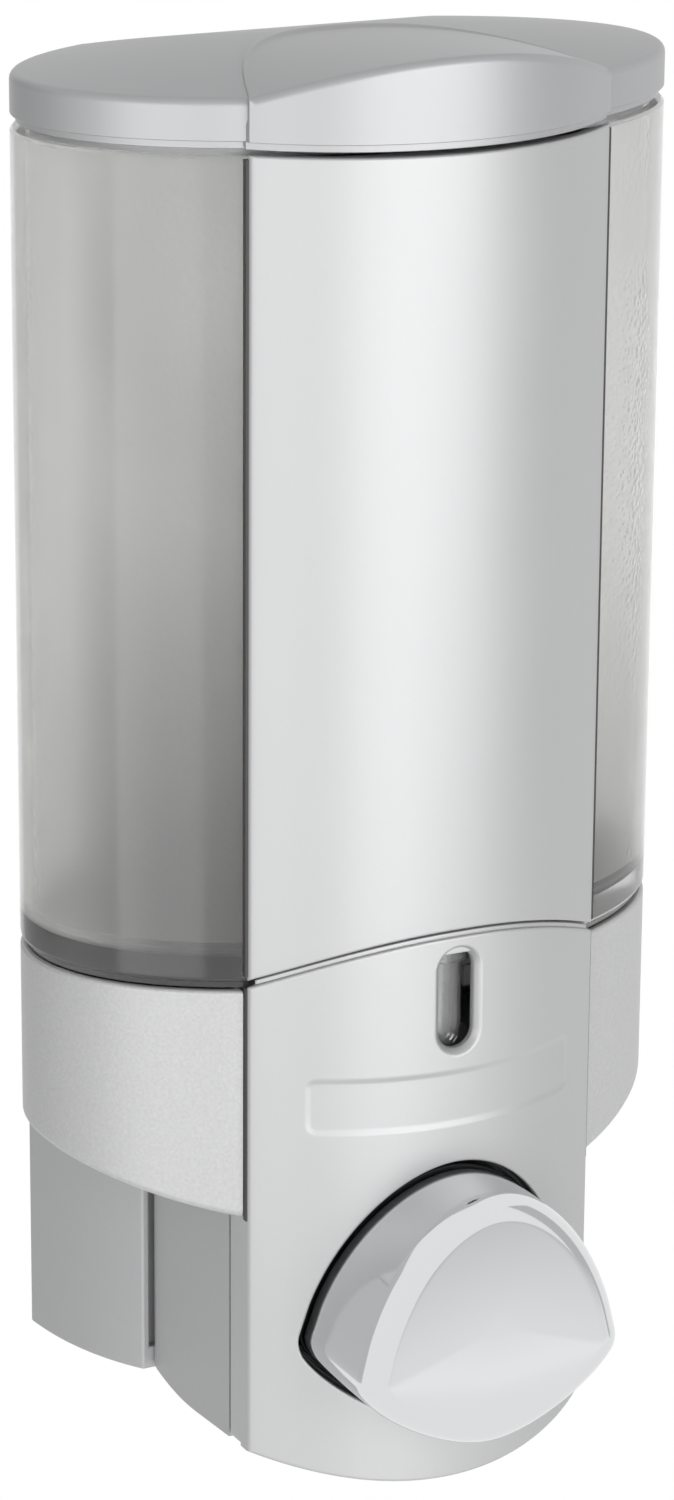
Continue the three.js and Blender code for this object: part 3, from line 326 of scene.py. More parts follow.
def skin_result(tree, colour, shade, rough, height):
    colour = add(tree, "ShaderNodeVectorMath", {0: colour, "Scale": shade}, operation="SCALE")
    add(tree, "NodeGroupOutput", {"Colour": colour.outputs[0], "Roughness": rough,
                                  "Height": height})
    return tree


def moulded_skin_group():
    """Painted or plain moulded plastic: fine flecks, slow clouds of tone and a slight orange peel."""
    tree, given = skin_group(
        "moulded_skin", ("Colour", COLOUR, (0.5, 0.5, 0.5, 1)), ("Roughness", FLOAT, 0.4),
        ("Flecks per metre", FLOAT, 4000.0), ("Fleck depth", FLOAT, 0.1),
        ("Cloud depth", FLOAT, 0.06), ("Gloss change", FLOAT, 0.1))
    place = add(tree, "ShaderNodeTexCoord").outputs["Object"]
    fleck = noise(tree, place, given["Flecks per metre"], 1.0)
    cloud = noise(tree, place, 24.0, 3.0)
    peel = noise(tree, place, 700.0, 2.0)
    change = reckoned(tree, "ADD", spread(tree, fleck, given["Fleck depth"]),
                      spread(tree, cloud, given["Cloud depth"]))
    rough = reckoned(tree, "ADD", given["Roughness"], spread(tree, cloud, given["Gloss change"]))
    return skin_result(tree, given["Colour"], reckoned(tree, "ADD", change, 1.0), rough,
                       reckoned(tree, "ADD", fleck, peel))


def skinned(name, group, values, relief, plain):
    """A plastic: colour, gloss and grain from a shared skin, the rest plain on its shader."""
    finish = bpy.data.materials.new(name)
    finish.use_nodes = True
    tree = finish.node_tree
    shader = tree.nodes["Principled BSDF"]
    for label, value in plain.items():
        shader.inputs[label].default_value = value
    skin = add(tree, "ShaderNodeGroup", values, node_tree=group).outputs
    bump = add(tree, "ShaderNodeBump", {"Strength": 1.0, "Distance": relief / 1000,
                                        "Height": skin["Height"]})
    tree.links.new(skin["Colour"], shader.inputs["Base Color"])
    tree.links.new(skin["Roughness"], shader.inputs["Roughness"])
    tree.links.new(bump.outputs[0], shader.inputs["Normal"])
    return finish


moulded_skin = moulded_skin_group()


def moulding(name, colour, roughness, metallic=0.0, flecks=4000.0, fleck_depth=0.1, clouds=0.06,
             gloss_change=0.1, relief=0.006):
    """A material for moulded plastic or rubber; relief is the depth of its grain in millimetres."""
    return skinned(name, moulded_skin, {
        "Colour": (*colour, 1), "Roughness": roughness, "Flecks per metre": flecks,
        "Fleck depth": fleck_depth, "Cloud depth": clouds, "Gloss change": gloss_change},
        relief, {"Metallic": metallic})


def foot_ring(inset, z):
    """The foot in plan: a flat front and two sides that spread in a curve to the wall."""
    (x0, y0), (x1, y1), (x2, y2) = FOOT_SIDE
    side = []
    for i in range(21):
        t = i / 20
        a, b, c = (1 - t) ** 2, 2 * t * (1 - t), t * t
        side.append((a * (x0 - inset) + b * (x1 - inset) + c * (x2 - inset),
                     a * (y0 + inset) + b * y1 + c * (y2 - 0.77 * inset)))
    return [(x, y, z) for x, y in side] + [(-x, y, z) for x, y in reversed(side)]


bracket_silver = moulding("bracket_silver", (0.435, 0.437, 0.44), 0.42, 0.3)
foot = blank("bracket_foot", [stacked([
    foot_ring(0, FOOT_BOTTOM), foot_ring(0, FOOT_TOP), foot_ring(SKIN, FOOT_TOP),
    foot_ring(SKIN, FOOT_BOTTOM + SKIN)])])
housing_recess = box(-29.7, 29.7, 2, 3.7, 5, 45)
worked(foot, "DIFFERENCE", tool(housing_recess))
fitted(rounded(foot, 0.3), bracket_silver, "bracket_silver", "bracket")
plate = box(-20, 20, 24.3, WALL - TAPE, 41.9, 150)
tongue = stacked([dovetail(10, 21.3, 8, 24.4, 74), dovetail(10, 21.3, 8, 24.4, 109),
                  dovetail(8.6, 23.6, 8, 24.4, 112)])
bracket = blank("bracket_moulding", [plate, tongue])
fitted(rounded(bracket, 0.6), bracket_silver, "bracket_silver", "bracket", "wall_bracket")

foam = moulding("foam_tape", (0.55, 0.56, 0.54), 0.9, flecks=1500.0, fleck_depth=0.3, relief=0.05)
for name, half, low, high in (("upper_tape_pad", 17, 75, 145), ("lower_tape_pad", 28, 8.75, 34.75)):
    pad = rounded(blank(name + "_foam", [box(-half, half, WALL - TAPE, WALL, low, high)]), 0.2)
    fitted(pad, foam, "foam_tape", "bracket", name)

# Bottle: one blow-thin oval cup in smoky clear plastic, smooth outside and pebbled inside, with a
# thick floor, a threadless neck, a boss for the sight tube and a dovetail groove for the bracket.
HALF, FRONT, REAR, FLAT = 49.1, 31.8, 30.0, 24.0  # the oval that bottle, lid and skirt share
FLOOR_TOP, RIM = 75, 189.3  # of the bottle's inside, and where its rim starts to round
NECK, TUBE = (0, -9), (0, -30)  # where the neck and the sight tube stand, seen from above
HINGE = (21.2, 192.3)  # the lid's axis: how far back, and how high


def oval(inset, z, flat=None):
    """The shared oval, drawn in from its edge and cut flat at the rear, from the left forwards."""
    half, front, rear = HALF - inset, FRONT - inset, REAR - inset
    end = math.asin((FLAT - inset if flat is None else flat) / rear)
    ahead = [math.pi * (1 + i / 96) for i in range(97)]
    behind = [end * i / 28 for i in range(1, 29)]
    return ([(half * math.cos(a), front * math.sin(a), z) for a in ahead]
            + [(half * math.cos(a), rear * math.sin(a), z) for a in behind]
            + [(-half * math.cos(a), rear * math.sin(a), z) for a in reversed(behind)])


def quarter(steps=5):
    """Sine and 1 - cosine of a quarter turn, for the rings of a rounded edge."""
    angles = [math.pi / 2 * i / steps for i in range(steps + 1)]
    return [(math.sin(a), 1 - math.cos(a)) for a in angles]


def turned(profile, place, axis="Z", steps=48):
    """A lathe skin: radius and height pairs along an axis through a place, closed at its ends."""
    rings = []
    for radius, height in profile:
        ring = []
        for i in range(steps):
            a, b = (radius * f(2 * math.pi * i / steps) for f in (math.cos, math.sin))
            ring.append({"Z": (place[0] + a, place[1] + b, height),
                         "Y": (place[0] + b, height, place[1] + a),
                         "X": (height, place[0] + a, place[1] + b)}[axis])
        rings.append(ring)
    if profile[0] == profile[-1]:
        points, faces = stacked(rings[:-1], closed=False)
        last = (len(rings) - 2) * steps
        faces += [(last + i, last + (i + 1) % steps, (i + 1) % steps, i) for i in range(steps)]
        return points, faces
    return stacked(rings)


def rod(radius, low, high, place, axis="Z", steps=48):
    return turned([(radius, low), (radius, high)], place, axis, steps)


cup = [oval(0.9, 71.1), oval(0.8, 72.0)]
cup += [oval(0.8 * (1 - s), 72.0 + 0.8 * c) for s, c in quarter()]
cup += [oval(0, z) for z in (100, 130, 160, RIM)]
cup += [oval(0.4, RIM + 0.4), oval(1.8, RIM + 0.4), oval(SKIN, RIM)]
cup += [oval(SKIN, z) for z in (160, 130, 100)]
cup += [oval(SKIN + 2.6 * c, FLOOR_TOP + 2.6 * (1 - s)) for s, c in quarter()]
bottle = blank("bottle", [stacked(cup)])
groove_wall = box(-12.5, 12.5, 18.8, 22.4, 72.2, 114.5)
tube_boss = turned([(6, 73.8), (6, 87.4), (5.4, 88)], TUBE)
worked(bottle, "UNION", tool(groove_wall), tool(tube_boss), tool(rod(8, 60.5, 74, NECK)))
groove = stacked([dovetail(10.6, 20.7, 8, 24.6, z) for z in (67, 112.3)])
neck_bore = turned([(4.5, 55), (4.5, 76), (5.4, 77)], NECK)
tube_vent = rod(1.6, TUBE[1], -20, (0, 84.4), "Y", 24)
rear_cut = box(-50, 50, 20.9, 29, 188.3, 195)
worked(bottle, "DIFFERENCE", tool(groove), tool(neck_bore), tool(rod(4.5, 60, 86, TUBE)),
       tool(tube_vent), tool(rear_cut))
for side in (1, -1):
    near, far = sorted((side * 11.3, side * 14.3))
    worked(bottle, "UNION", tool(box(near, far, 19.75, 24, 184.3, HINGE[1])),
           tool(rod(2.9, near, far, HINGE, "X", 40)))
worked(bottle, "DIFFERENCE", tool(rod(1.7, -20, 20, HINGE, "X", 24)))
rounded(bottle)


def pebble_group():
    """The pebbled inside of the bottle: rounded grains that crowd together in drifting patches, with
    painted shade that darkens the colour towards the foot, and painted light that brightens it at the
    ends and in the middle.
    """
    tree, given = skin_group(
        "pebbled_frost", ("Colour", COLOUR, (0.6, 0.6, 0.6, 1)),
        ("Grains per metre", FLOAT, 1500.0), ("Smooth", FLOAT, 0.3), ("Rough", FLOAT, 0.6),
        ("Painted foot shade", FLOAT, 1.0), ("Painted end light", FLOAT, 1.0), ("Painted middle light", FLOAT, 1.0))
    place = add(tree, "ShaderNodeTexCoord").outputs["Object"]
    patch = ramp(tree, noise(tree, place, 22.0, 2.0), 0.35, 0.65)
    grain = add(tree, "ShaderNodeTexVoronoi", {"Vector": place, "Scale": given["Grains per metre"]},
                feature="SMOOTH_F1")
    spot = add(tree, "ShaderNodeSeparateXYZ", {0: place}).outputs
    aside = reckoned(tree, "ABSOLUTE", spot["X"])
    # Painted shade darkens the colour towards the foot, by the height in metres. Painted light
    # brightens it at the ends and near the middle plane, by the distance from that plane.
    upwards = ramp(tree, spot["Z"], -0.038, 0.03, given["Painted foot shade"], 1.0, "SMOOTHSTEP")
    end = ramp(tree, aside, 0.036, 0.047, kind="SMOOTHSTEP")
    middle = ramp(tree, aside, 0.008, 0.02, given["Painted middle light"], 1.0, "SMOOTHSTEP")
    tone = add(tree, "ShaderNodeMix", {"Factor": end, "A": upwards, "B": given["Painted end light"]})
    shade = reckoned(tree, "MULTIPLY", ramp(tree, patch, 0.0, 1.0, 0.96, 1.04), tone.outputs[0])
    height = reckoned(tree, "MULTIPLY", grain.outputs["Distance"], patch)
    return skin_result(
        tree, given["Colour"], reckoned(tree, "MULTIPLY", shade, middle),
        ramp(tree, patch, 0.0, 1.0, given["Smooth"], given["Rough"]),
        reckoned(tree, "MULTIPLY", height, ramp(tree, end, 0.0, 1.0, 1.0, 0.25)))


pebbled_frost = pebble_group()


def see_through(name, colour, grains, smooth, rough, relief, transmission=1.0, painted_foot_shade=1.0,
                painted_end_light=1.0, painted_middle_light=1.0):
    """A see-through plastic, from clear to frosted; relief is the grain's depth in millimetres. The
    foot value paints shade towards the foot, and the end and middle values paint light at the ends
    and in the middle.
    """
    return skinned(name, pebbled_frost, {
        "Colour": (*colour, 1), "Grains per metre": grains, "Smooth": smooth, "Rough": rough,
        "Painted foot shade": painted_foot_shade, "Painted end light": painted_end_light, "Painted middle light": painted_middle_light},
        relief, {"Transmission Weight": transmission, "IOR": 1.49})


MIDWALL = 1.2  # an oval drawn in by this much runs inside the bottle's wall
OUTSIDE, INSIDE_FRONT, INSIDE_BACK, INSIDE_FLOOR = range(4)  # the finishes in this order
# The bottle's finishes carry painted shade towards the foot, and painted light at the ends and, on
# the back, in the middle.
for finish in (
        see_through("smoky_outside", (0.9, 0.9, 0.89), 900.0, 0.1, 0.16, relief=0.004,
                    transmission=0.93, painted_foot_shade=0.78, painted_end_light=1.1),
        see_through("frosted_front", (0.88, 0.88, 0.87), 1100.0, 0.36, 0.56, relief=0.085,
                    transmission=0.82, painted_foot_shade=0.7, painted_end_light=1.13),
        see_through("frosted_back", (0.72, 0.72, 0.71), 1100.0, 0.36, 0.56, relief=0.12,
                    transmission=0.35, painted_foot_shade=0.2, painted_end_light=1.3, painted_middle_light=1.36),
        see_through("frosted_floor", (0.5, 0.5, 0.49), 1100.0, 0.36, 0.56, relief=0.015,
                    transmission=0.35, painted_foot_shade=0.15)):
    bottle.data.materials.append(finish)
for face in bottle.data.polygons:
    x, y, z = face.center.x * 1000, face.center.y * 1000 + WALL, face.center.z * 1000 + PAD
    inside = math.hypot(x / (HALF - MIDWALL), y / ((FRONT if y < 0 else REAR) - MIDWALL)) < 1
    if not (inside and FLOOR_TOP - 1 < z < RIM + 0.2):
        face.material_index = OUTSIDE
    elif z < FLOOR_TOP + 3:
        face.material_index = INSIDE_FLOOR
    else:
        face.material_index = INSIDE_BACK if y > 3 and abs(x) < 34 else INSIDE_FRONT
fitted(bottle, None, "frosted_bottle", "dispenser", "reservoir")

TUBE_OUTER, TUBE_INNER = 4.2, 3.0
tube_line = [(TUBE_OUTER * s, 58.3 + TUBE_OUTER * c) for s, c in quarter(8)]
tube_line += [(4.2, 81.8), (4.0, 82), (3.2, 82), (3.0, 81.8)]
tube_line += [(TUBE_INNER * s, 59.5 + TUBE_INNER * c) for s, c in reversed(quarter(8))]
tube_line[0], tube_line[-1] = (0.02, 58.3), (0.02, 59.5)
clear_tube = see_through("clear_tube", (0.93, 0.94, 0.93), 500.0, 0.03, 0.06, relief=0.001,
                         transmission=0.82)
tube = rounded(blank("sight_tube_clear", [turned(tube_line, TUBE)]))
fitted(tube, clear_tube, "clear_tube", "dispenser", "sight_tube")

# Skirt: a light satin silver band round the bottle's foot, open in front where the panel stands
# and behind where the bracket passes, with the deck that the bottle rests on.
FACE_HALF, FACE_CORNER, FACE_SAG = 27.8, 27.3, 11.0  # the curved front of covers and lid
FACE_RADIUS = (FACE_HALF ** 2 + FACE_SAG ** 2) / (2 * FACE_SAG)
FACE_CENTRE = FACE_RADIUS - FACE_CORNER - FACE_SAG
SKIRT_FRONT_HALF, SKIRT_REAR_HALF = 28.05, 26  # half the openings in front and behind
SKIRT_TOP, SKIRT_FOOT, SKIRT_DROP = 70.8, 44, 8.4  # the foot's height behind, and its drop
DROP_START, DROP_REACH = 6, 32  # it starts this far behind the middle, and takes this far
DECK = 3  # its thickness
DECK_SCREWS = ((22, -12), (-22, -12))  # where they stand, seen from above


def face_y(x, inset=0.0):
    """Depth of the curved front at a distance from the middle."""
    return FACE_CENTRE - math.sqrt((FACE_RADIUS - inset) ** 2 - x * x)


def skirt_foot(y):
    """Height of the skirt's lower edge, which drops in a curve towards the front."""
    share = min(1.0, max(0.0, (DROP_START - y) / DROP_REACH))
    return SKIRT_FOOT - SKIRT_DROP * share ** 2


def skirt_place(inset, share):
    """A place along one side of the skirt, from its front edge to its rear edge."""
    half, front, rear = HALF - inset, FRONT - inset, REAR - inset
    first = math.acos(SKIRT_FRONT_HALF / half)
    last = math.asin((FLAT - inset) / rear)
    if share < 0.5:
        a = first * (1 - share / 0.5)
        return half * math.cos(a), -front * math.sin(a)
    if share < 0.9:
        a = last * (share - 0.5) / 0.4
        return half * math.cos(a), rear * math.sin(a)
    corner = half * math.cos(last)
    return corner + (SKIRT_REAR_HALF - corner) * (share - 0.9) / 0.1, FLAT - inset


def skirt_side(side):
    """One side of the skirt as slices from front to rear, each from its top round its foot."""
    slices = []
    for share in (i / 120 for i in range(121)):
        low = skirt_foot(skirt_place(1.0, share)[1])
        line = [(0.6 * c, SKIRT_TOP - 0.6 * (1 - s)) for s, c in quarter(4)]
        line += [(2.0, SKIRT_TOP), (2.0, low + 0.4), (1.9, low + 0.1), (1.7, low), (1.2, low)]
        line += [(1.2 * (1 - s), low + 1.2 * c) for s, c in quarter(5)]
        places = [(*skirt_place(inset, share), z) for inset, z in line]
        slices.append([(side * x, y, z) for x, y, z in places])
    return stacked(slices)


skirt = blank("skirt_band", [skirt_side(1), skirt_side(-1)])
skirt_silver = moulding("skirt_silver", (0.52, 0.52, 0.52), 0.42, 0.25, flecks=2200.0,
                        fleck_depth=0.22, relief=0.02)
fitted(rounded(skirt), skirt_silver, "skirt_silver", "dispenser", "base_skirt")

deck = blank("skirt_deck", [stacked([oval(1.0, SKIRT_TOP - DECK), oval(1.0, SKIRT_TOP)])])
worked(deck, "UNION", *[tool(rod(3, 64.8, 69, spot, "Z", 32)) for spot in DECK_SCREWS])
worked(deck, "DIFFERENCE",
       *[tool(box(x - 1.6, x + 1.6, -33, -21, 60, 75)) for x in (27.1, -27.1)],
       *[tool(rod(1.4, 60, 70.2, spot, "Z", 24)) for spot in DECK_SCREWS],
       tool(rod(8.3, 60, 75, NECK)), tool(rod(4.9, 60, 75, TUBE)),
       tool(box(-4.9, 4.9, -40, TUBE[1], 60, 75)),
       tool(stacked([dovetail(10.6, 20.7, 8.6, 24.6, z) for z in (60, 75)])))
fitted(rounded(deck), skirt_silver, "skirt_silver", "dispenser")

# Pump: a moulded barrel with stems above and below, closed in front by a screwed cap, fed through
# a gasket and a fluted coupling nut, with silicone duckbill valves and a tapered outlet nozzle.
PUSH_Z = 24  # the height of the pump's axis, which is the button's too
NUT = 11.5  # the radius of its grip
COIL, WIRE, CURLS = 7.2, 0.54, 6.5  # the spring's radius, its wire's, and its turns
SPRING_REAR, SPRING_LENGTH, SPRING_STEPS = -48.84, 18.98, 320
white_plastic = moulding("white_plastic", (0.8, 0.8, 0.77), 0.38, clouds=0.04, relief=0.003)
grey_plastic = moulding("grey_plastic", (0.16, 0.165, 0.17), 0.5, relief=0.008)
white_rubber = moulding("white_rubber", (0.68, 0.67, 0.63), 0.6, relief=0.01)
rubber = moulding("black_rubber", (0.015, 0.015, 0.017), 0.55, flecks=5000.0, relief=0.01)
steel = moulding("steel", (0.55, 0.56, 0.57), 0.28, 1.0, flecks=6000.0, clouds=0.1,
                 gloss_change=0.2, relief=0.002)
for finish, names in ((white_plastic, ("pump_barrel", "plunger_rod", "piston")),
                      (grey_plastic, ("barrel_cap",)),
                      (white_rubber, ("inlet_valve", "outlet_valve")),
                      (rubber, ("inlet_gasket", "piston_seal")), (steel, ("lid_hinge_pin",))):
    for name in names:
        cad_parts[name].data.materials.clear()
        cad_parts[name].data.materials.append(finish)

nozzle_line = [(2.4, -4.5), (4.0, -4.5), (4.3, -4.2), (6.4, 2.7), (6.4, 6.7), (6.1, 7.0),
               (4.9, 7.0), (4.9, 2.7), (2.4, 2.7), (2.4, -4.5)]
nozzle = rounded(blank("tapered_nozzle", [turned(nozzle_line, NECK, steps=64)]))
fitted(nozzle, grey_plastic, "grey_plastic", "dispenser", "outlet_nozzle")


def nut_ring(radius, z, flute):
    """A ring of the coupling nut; its grip is fluted by sixteen round grooves."""
    ring = []
    for i in range(240):
        turn = 2 * math.pi * i / 240
        beside = NUT * ((turn + math.pi / 16) % (math.pi / 8) - math.pi / 16)
        reach = radius - math.sqrt(max(0.0, flute ** 2 - beside ** 2))
        ring.append((reach * math.cos(turn), NECK[1] + reach * math.sin(turn), z))
    return ring


nut_rings = [nut_ring(r, z, f) for r, z, f in (
    (5.3, 55.2, 0), (11.1, 55.2, 0.5), (NUT, 55.6, 0.7), (NUT, 67.1, 0.7), (11.1, 67.5, 0.5),
    (8.3, 67.5, 0), (8.3, 56.9, 0), (5.3, 56.9, 0), (5.3, 55.2, 0))]
nut = rounded(blank("fluted_nut", [stacked(nut_rings, closed=False)]))
fitted(nut, grey_plastic, "grey_plastic", "dispenser", "coupling_nut")


def spring_wire():
    """The return spring's wire: five open curls between two that lie nearly flat."""
    path = []
    for i in range(SPRING_STEPS + 1):
        t = i / SPRING_STEPS
        eased_t = t - 0.055 * math.sin(2 * math.pi * t)
        turn = 2 * math.pi * CURLS * t
        path.append(Vector((COIL * math.cos(turn), SPRING_REAR + SPRING_LENGTH * eased_t,
                            PUSH_Z + COIL * math.sin(turn))))
    rings = []
    for i, spot in enumerate(path):
        along = (path[min(i + 1, SPRING_STEPS)] - path[max(i - 1, 0)]).normalized()
        out = Vector((spot.x, 0, spot.z - PUSH_Z)).normalized()
        up = along.cross(out)
        rings.append([tuple(spot + WIRE * (math.cos(a) * out + math.sin(a) * up))
                      for a in (2 * math.pi * k / 12 for k in range(12))])
    return stacked(rings)


spring = rounded(blank("return_spring_wire", [spring_wire()]))
fitted(spring, steel, "steel", "dispenser", "return_spring")
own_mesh(spring)

# Pump housing: an open-fronted moulded box in the bracket's darker silver, with its floor raised
# at the heel, screwed to the deck through two tabs and to the lower panel by four screws behind.
HOUSING_FRONT_HALF, HOUSING_REAR_HALF = 27.8, 29.3
PANEL_SCREWS = ((22.4, 8.3), (-22.4, 8.3), (21.8, 52), (-21.8, 52))  # seen from behind


def housing_ring(inset, z, front=-21.0, rear=3.3):
    """The housing in plan, with its two rear corners rounded."""
    corner = max(2.5 - inset, 0.3)
    right = [(HOUSING_FRONT_HALF - inset, front)]
    for i in range(9):
        turn = math.pi / 2 * i / 8
        right.append((HOUSING_REAR_HALF - inset - corner * (1 - math.cos(turn)),
                      rear - corner + corner * math.sin(turn)))
    return [(x, y, z) for x, y in right] + [(-x, y, z) for x, y in reversed(right)]


housing = blank("housing_moulding", [stacked([housing_ring(0, -0.2), housing_ring(0, 67.5)])])
heel = [(3.4 - 14.5 * (1 - i / 12), -0.2 + 3.3 * (i / 12) ** 2) for i in range(13)]
heel += [(6, 3.1), (6, -5), (-11.1, -5)]
worked(housing, "DIFFERENCE",
       tool(stacked([housing_ring(SKIN, z, -30, -1.6) for z in (5.3, 75)])),
       tool(stacked([housing_ring(SKIN, z, -30, -11.1) for z in (2.0, 5.4)])),
       tool(stacked([[(x, y, z) for y, z in heel] for x in (-40, 40)])),
       tool(box(-11.8, 11.8, -5, 5, 54.9, 75)), tool(rod(6.7, -5, 12, NECK)),
       *[tool(box(x - 2.5, x + 2.5, -22, -13, 37.5, 66.5)) for x in (28, -28)],
       *[tool(rod(1.4, -6, 4, spot, "Y", 24)) for spot in PANEL_SCREWS],
       *[tool(rod(2.9, 0, 4, spot, "Y", 32)) for spot in PANEL_SCREWS])
cradle = blank("cradle", [turned([(11.35, -6.6), (13.1, -6.6), (13.1, -1.3), (11.35, -1.3),
                                  (11.35, -6.6)], (0, PUSH_Z), "Y")])
worked(cradle, "DIFFERENCE", tool(box(-5.3, 5.3, -10, 0, 0, 48)))
worked(housing, "UNION", cradle,
       *[tool(box(x - 4.5, x + 4.5, -16, -8, 62, 64.5)) for x in (22.2, -22.2)])
worked(housing, "DIFFERENCE", *[tool(rod(1.4, 60, 66, spot, "Z", 24)) for spot in DECK_SCREWS])
fitted(rounded(housing, 0.25, 2), bracket_silver, "bracket_silver", "dispenser", "pump_housing")


def screw(name, place, axis, seat, way, length):
    """A pan-head screw with a cross recess; its shank runs away from the head's seat."""
    line = [(0.2, -length), (0.8, -length + 0.8)]
    for k in range(int(length / 0.8) - 1):
        low = -length + 0.8 + 0.8 * k
        line += [(0.82, low + 0.1), (1.1, low + 0.4), (0.82, low + 0.7)]
    line += [(1.1, 0), (2.5, 0), (2.6, 0.1), (2.6, 0.5), (2.3, 1.1), (1.5, 1.5), (0.3, 1.6)]
    line = [(r, seat + way * h) for r, h in line]
    made = blank(name + "_cross_head", [turned(line, place, axis, 32)])
    low, high = sorted((seat + way * 0.8, seat + way * 2))
    a, b = place
    for half_a, half_b in ((1.5, 0.28), (0.28, 1.5)):
        slot = (box(a - half_a, a + half_a, low, high, b - half_b, b + half_b) if axis == "Y"
                else box(a - half_a, a + half_a, b - half_b, b + half_b, low, high))
        worked(made, "DIFFERENCE", tool(slot))
    fitted(rounded(made), steel, "steel", "dispenser", name)


for i, spot in enumerate(PANEL_SCREWS):
    screw(f"panel_screw_{i + 1}", spot, "Y", 0.0, 1, 10)
for i, spot in enumerate(DECK_SCREWS):
    screw(f"deck_screw_{i + 1}", spot, "Z", 62.0, -1, 6)

# Front covers: two shells sprayed in satin silver and curved alike, with near-black strips behind
# their side edges that paint the shadow in the seams against the bottle. The upper hides the bottle's
# front; the lower has the sight slot, a bare label field and the button opening.
COVER, STEP = 2.0, 1.0  # how thick they are, and how finely they are curved
COVER_TOP, HALF_SEAM = 190.0, 0.5  # with half the gap between the two covers
CLEAR_ABOVE, CLEARANCE = 66, 0.65  # from here up they also stay this far in front of the bottle
SLOT_Z, SLOT_REACH, SLOT_RADIUS = 68.9, 4.65, 2.75  # middle, half of its straight part, its ends
LABEL_Z, LABEL_HALF, LABEL_HIGH, LABEL_CORNER = 54.25, 21, 3.95, 1.2  # with half its height
FUNNEL_DEPTH, LABEL_DEPTH = 1.0, 0.22


def spaced(low, high, gap):
    count = max(1, round((high - low) / gap))
    return [low + (high - low) * i / count for i in range(count + 1)]


def pressed_plate(name, outlines, thickness, edge, across_lines, up_lines=(), dent=None,
                  set_back=0.0):
    """A plate with rounded edges cut to outlines in front view, then curved like the front."""
    shape = bpy.data.curves.new(name, "CURVE")
    shape.dimensions, shape.fill_mode = "2D", "BOTH"
    shape.extrude, shape.bevel_depth = thickness / 2 - edge, edge
    shape.bevel_resolution, shape.offset = 2, -edge
    for outline in outlines:
        line = shape.splines.new("POLY")
        line.points.add(len(outline) - 1)
        for spot, (x, z) in zip(line.points, outline):
            spot.co = (x, z, 0, 1)
        line.use_cyclic_u = True
    flat = bpy.data.objects.new(name, shape)
    scene.collection.objects.link(flat)
    seen = bpy.context.evaluated_depsgraph_get()
    mesh = bpy.data.meshes.new_from_object(flat.evaluated_get(seen))
    bpy.data.objects.remove(flat)
    work = bmesh.new()
    work.from_mesh(mesh)
    bmesh.ops.remove_doubles(work, verts=work.verts, dist=1e-3)
    for lines, way in ((across_lines, (1, 0, 0)), (up_lines, (0, 1, 0))):
        for at in lines:
            bmesh.ops.bisect_plane(work, geom=work.verts[:] + work.edges[:] + work.faces[:],
                                   dist=1e-4, plane_co=Vector(way) * at, plane_no=way)
    bmesh.ops.recalc_face_normals(work, faces=work.faces)
    work.to_mesh(mesh)
    work.free()
    flat_normals = corner_normals(mesh)
    places = [(v.co.x, v.co.y, thickness / 2 - v.co.z) for v in mesh.vertices]

    def pushed(x, z, depth):
        """Depth of a place in the curved plate."""
        fade = max(0.0, 1 - depth / (thickness - edge))
        y = face_y(x, depth + set_back) + (fade * dent(x, z) if dent else 0.0)
        if z <= CLEAR_ABOVE:
            return y
        return min(y, -(FRONT + CLEARANCE) * math.sqrt(1 - (x / (HALF + CLEARANCE)) ** 2))

    bent = []
    corners = [c for face in mesh.polygons for c in face.vertices]
    for corner, normal in zip(corners, flat_normals):
        x, z, depth = places[corner]
        reach = min(max(x, -FACE_HALF + 0.01), FACE_HALF - 0.01)
        slope = (pushed(reach + 0.01, z, depth) - pushed(reach - 0.01, z, depth)) / 0.02
        rise = (pushed(reach, z + 0.01, depth) - pushed(reach, z - 0.01, depth)) / 0.02
        stretch = (face_y(reach, depth + 0.01 + set_back) - face_y(reach, depth + set_back)) / 0.01
        inward = -normal.z / stretch
        bent.append(Vector((normal.x - slope * inward, inward, normal.y - rise * inward))
                    .normalized())
    for vertex, (x, z, depth) in zip(mesh.vertices, places):
        vertex.co = in_frame(x, pushed(x, z, depth), z)
    piece = bpy.data.objects.new(name, shaded(mesh, bent))
    scene.collection.objects.link(piece)
    return piece


def arch(x):
    """Height of the line where the two covers meet."""
    return 79 - 6.9 * abs(x / FACE_HALF) ** 2.1


def smile(x):
    """Height of the lower panel's bottom edge."""
    return 5 * ((x / FACE_HALF) ** 2 - 1)


widths = spaced(-FACE_HALF, FACE_HALF, STEP)
cover_silver = moulding("cover_silver", (0.48, 0.482, 0.485), 0.44, 0.5, flecks=7000.0,
                        fleck_depth=0.07, relief=0.004)
upper_outline = ([(x, arch(x) + HALF_SEAM) for x in widths]
                 + [(FACE_HALF, COVER_TOP), (-FACE_HALF, COVER_TOP)])
upper = pressed_plate("upper_cover", [upper_outline], COVER, 0.4, spaced(-27.0, 27.0, STEP))
fitted(upper, cover_silver, "cover_silver", "dispenser", "upper_front_cover")


def curve_through(points, steps):
    """Points along a Bezier curve of two, three or four control points."""
    line = []
    for k in range(steps + 1):
        t, level_points = k / steps, [Vector(p) for p in points]
        while len(level_points) > 1:
            level_points = [a.lerp(b, t) for a, b in zip(level_points, level_points[1:])]
        line.append((level_points[0].x, level_points[0].y))
    return line


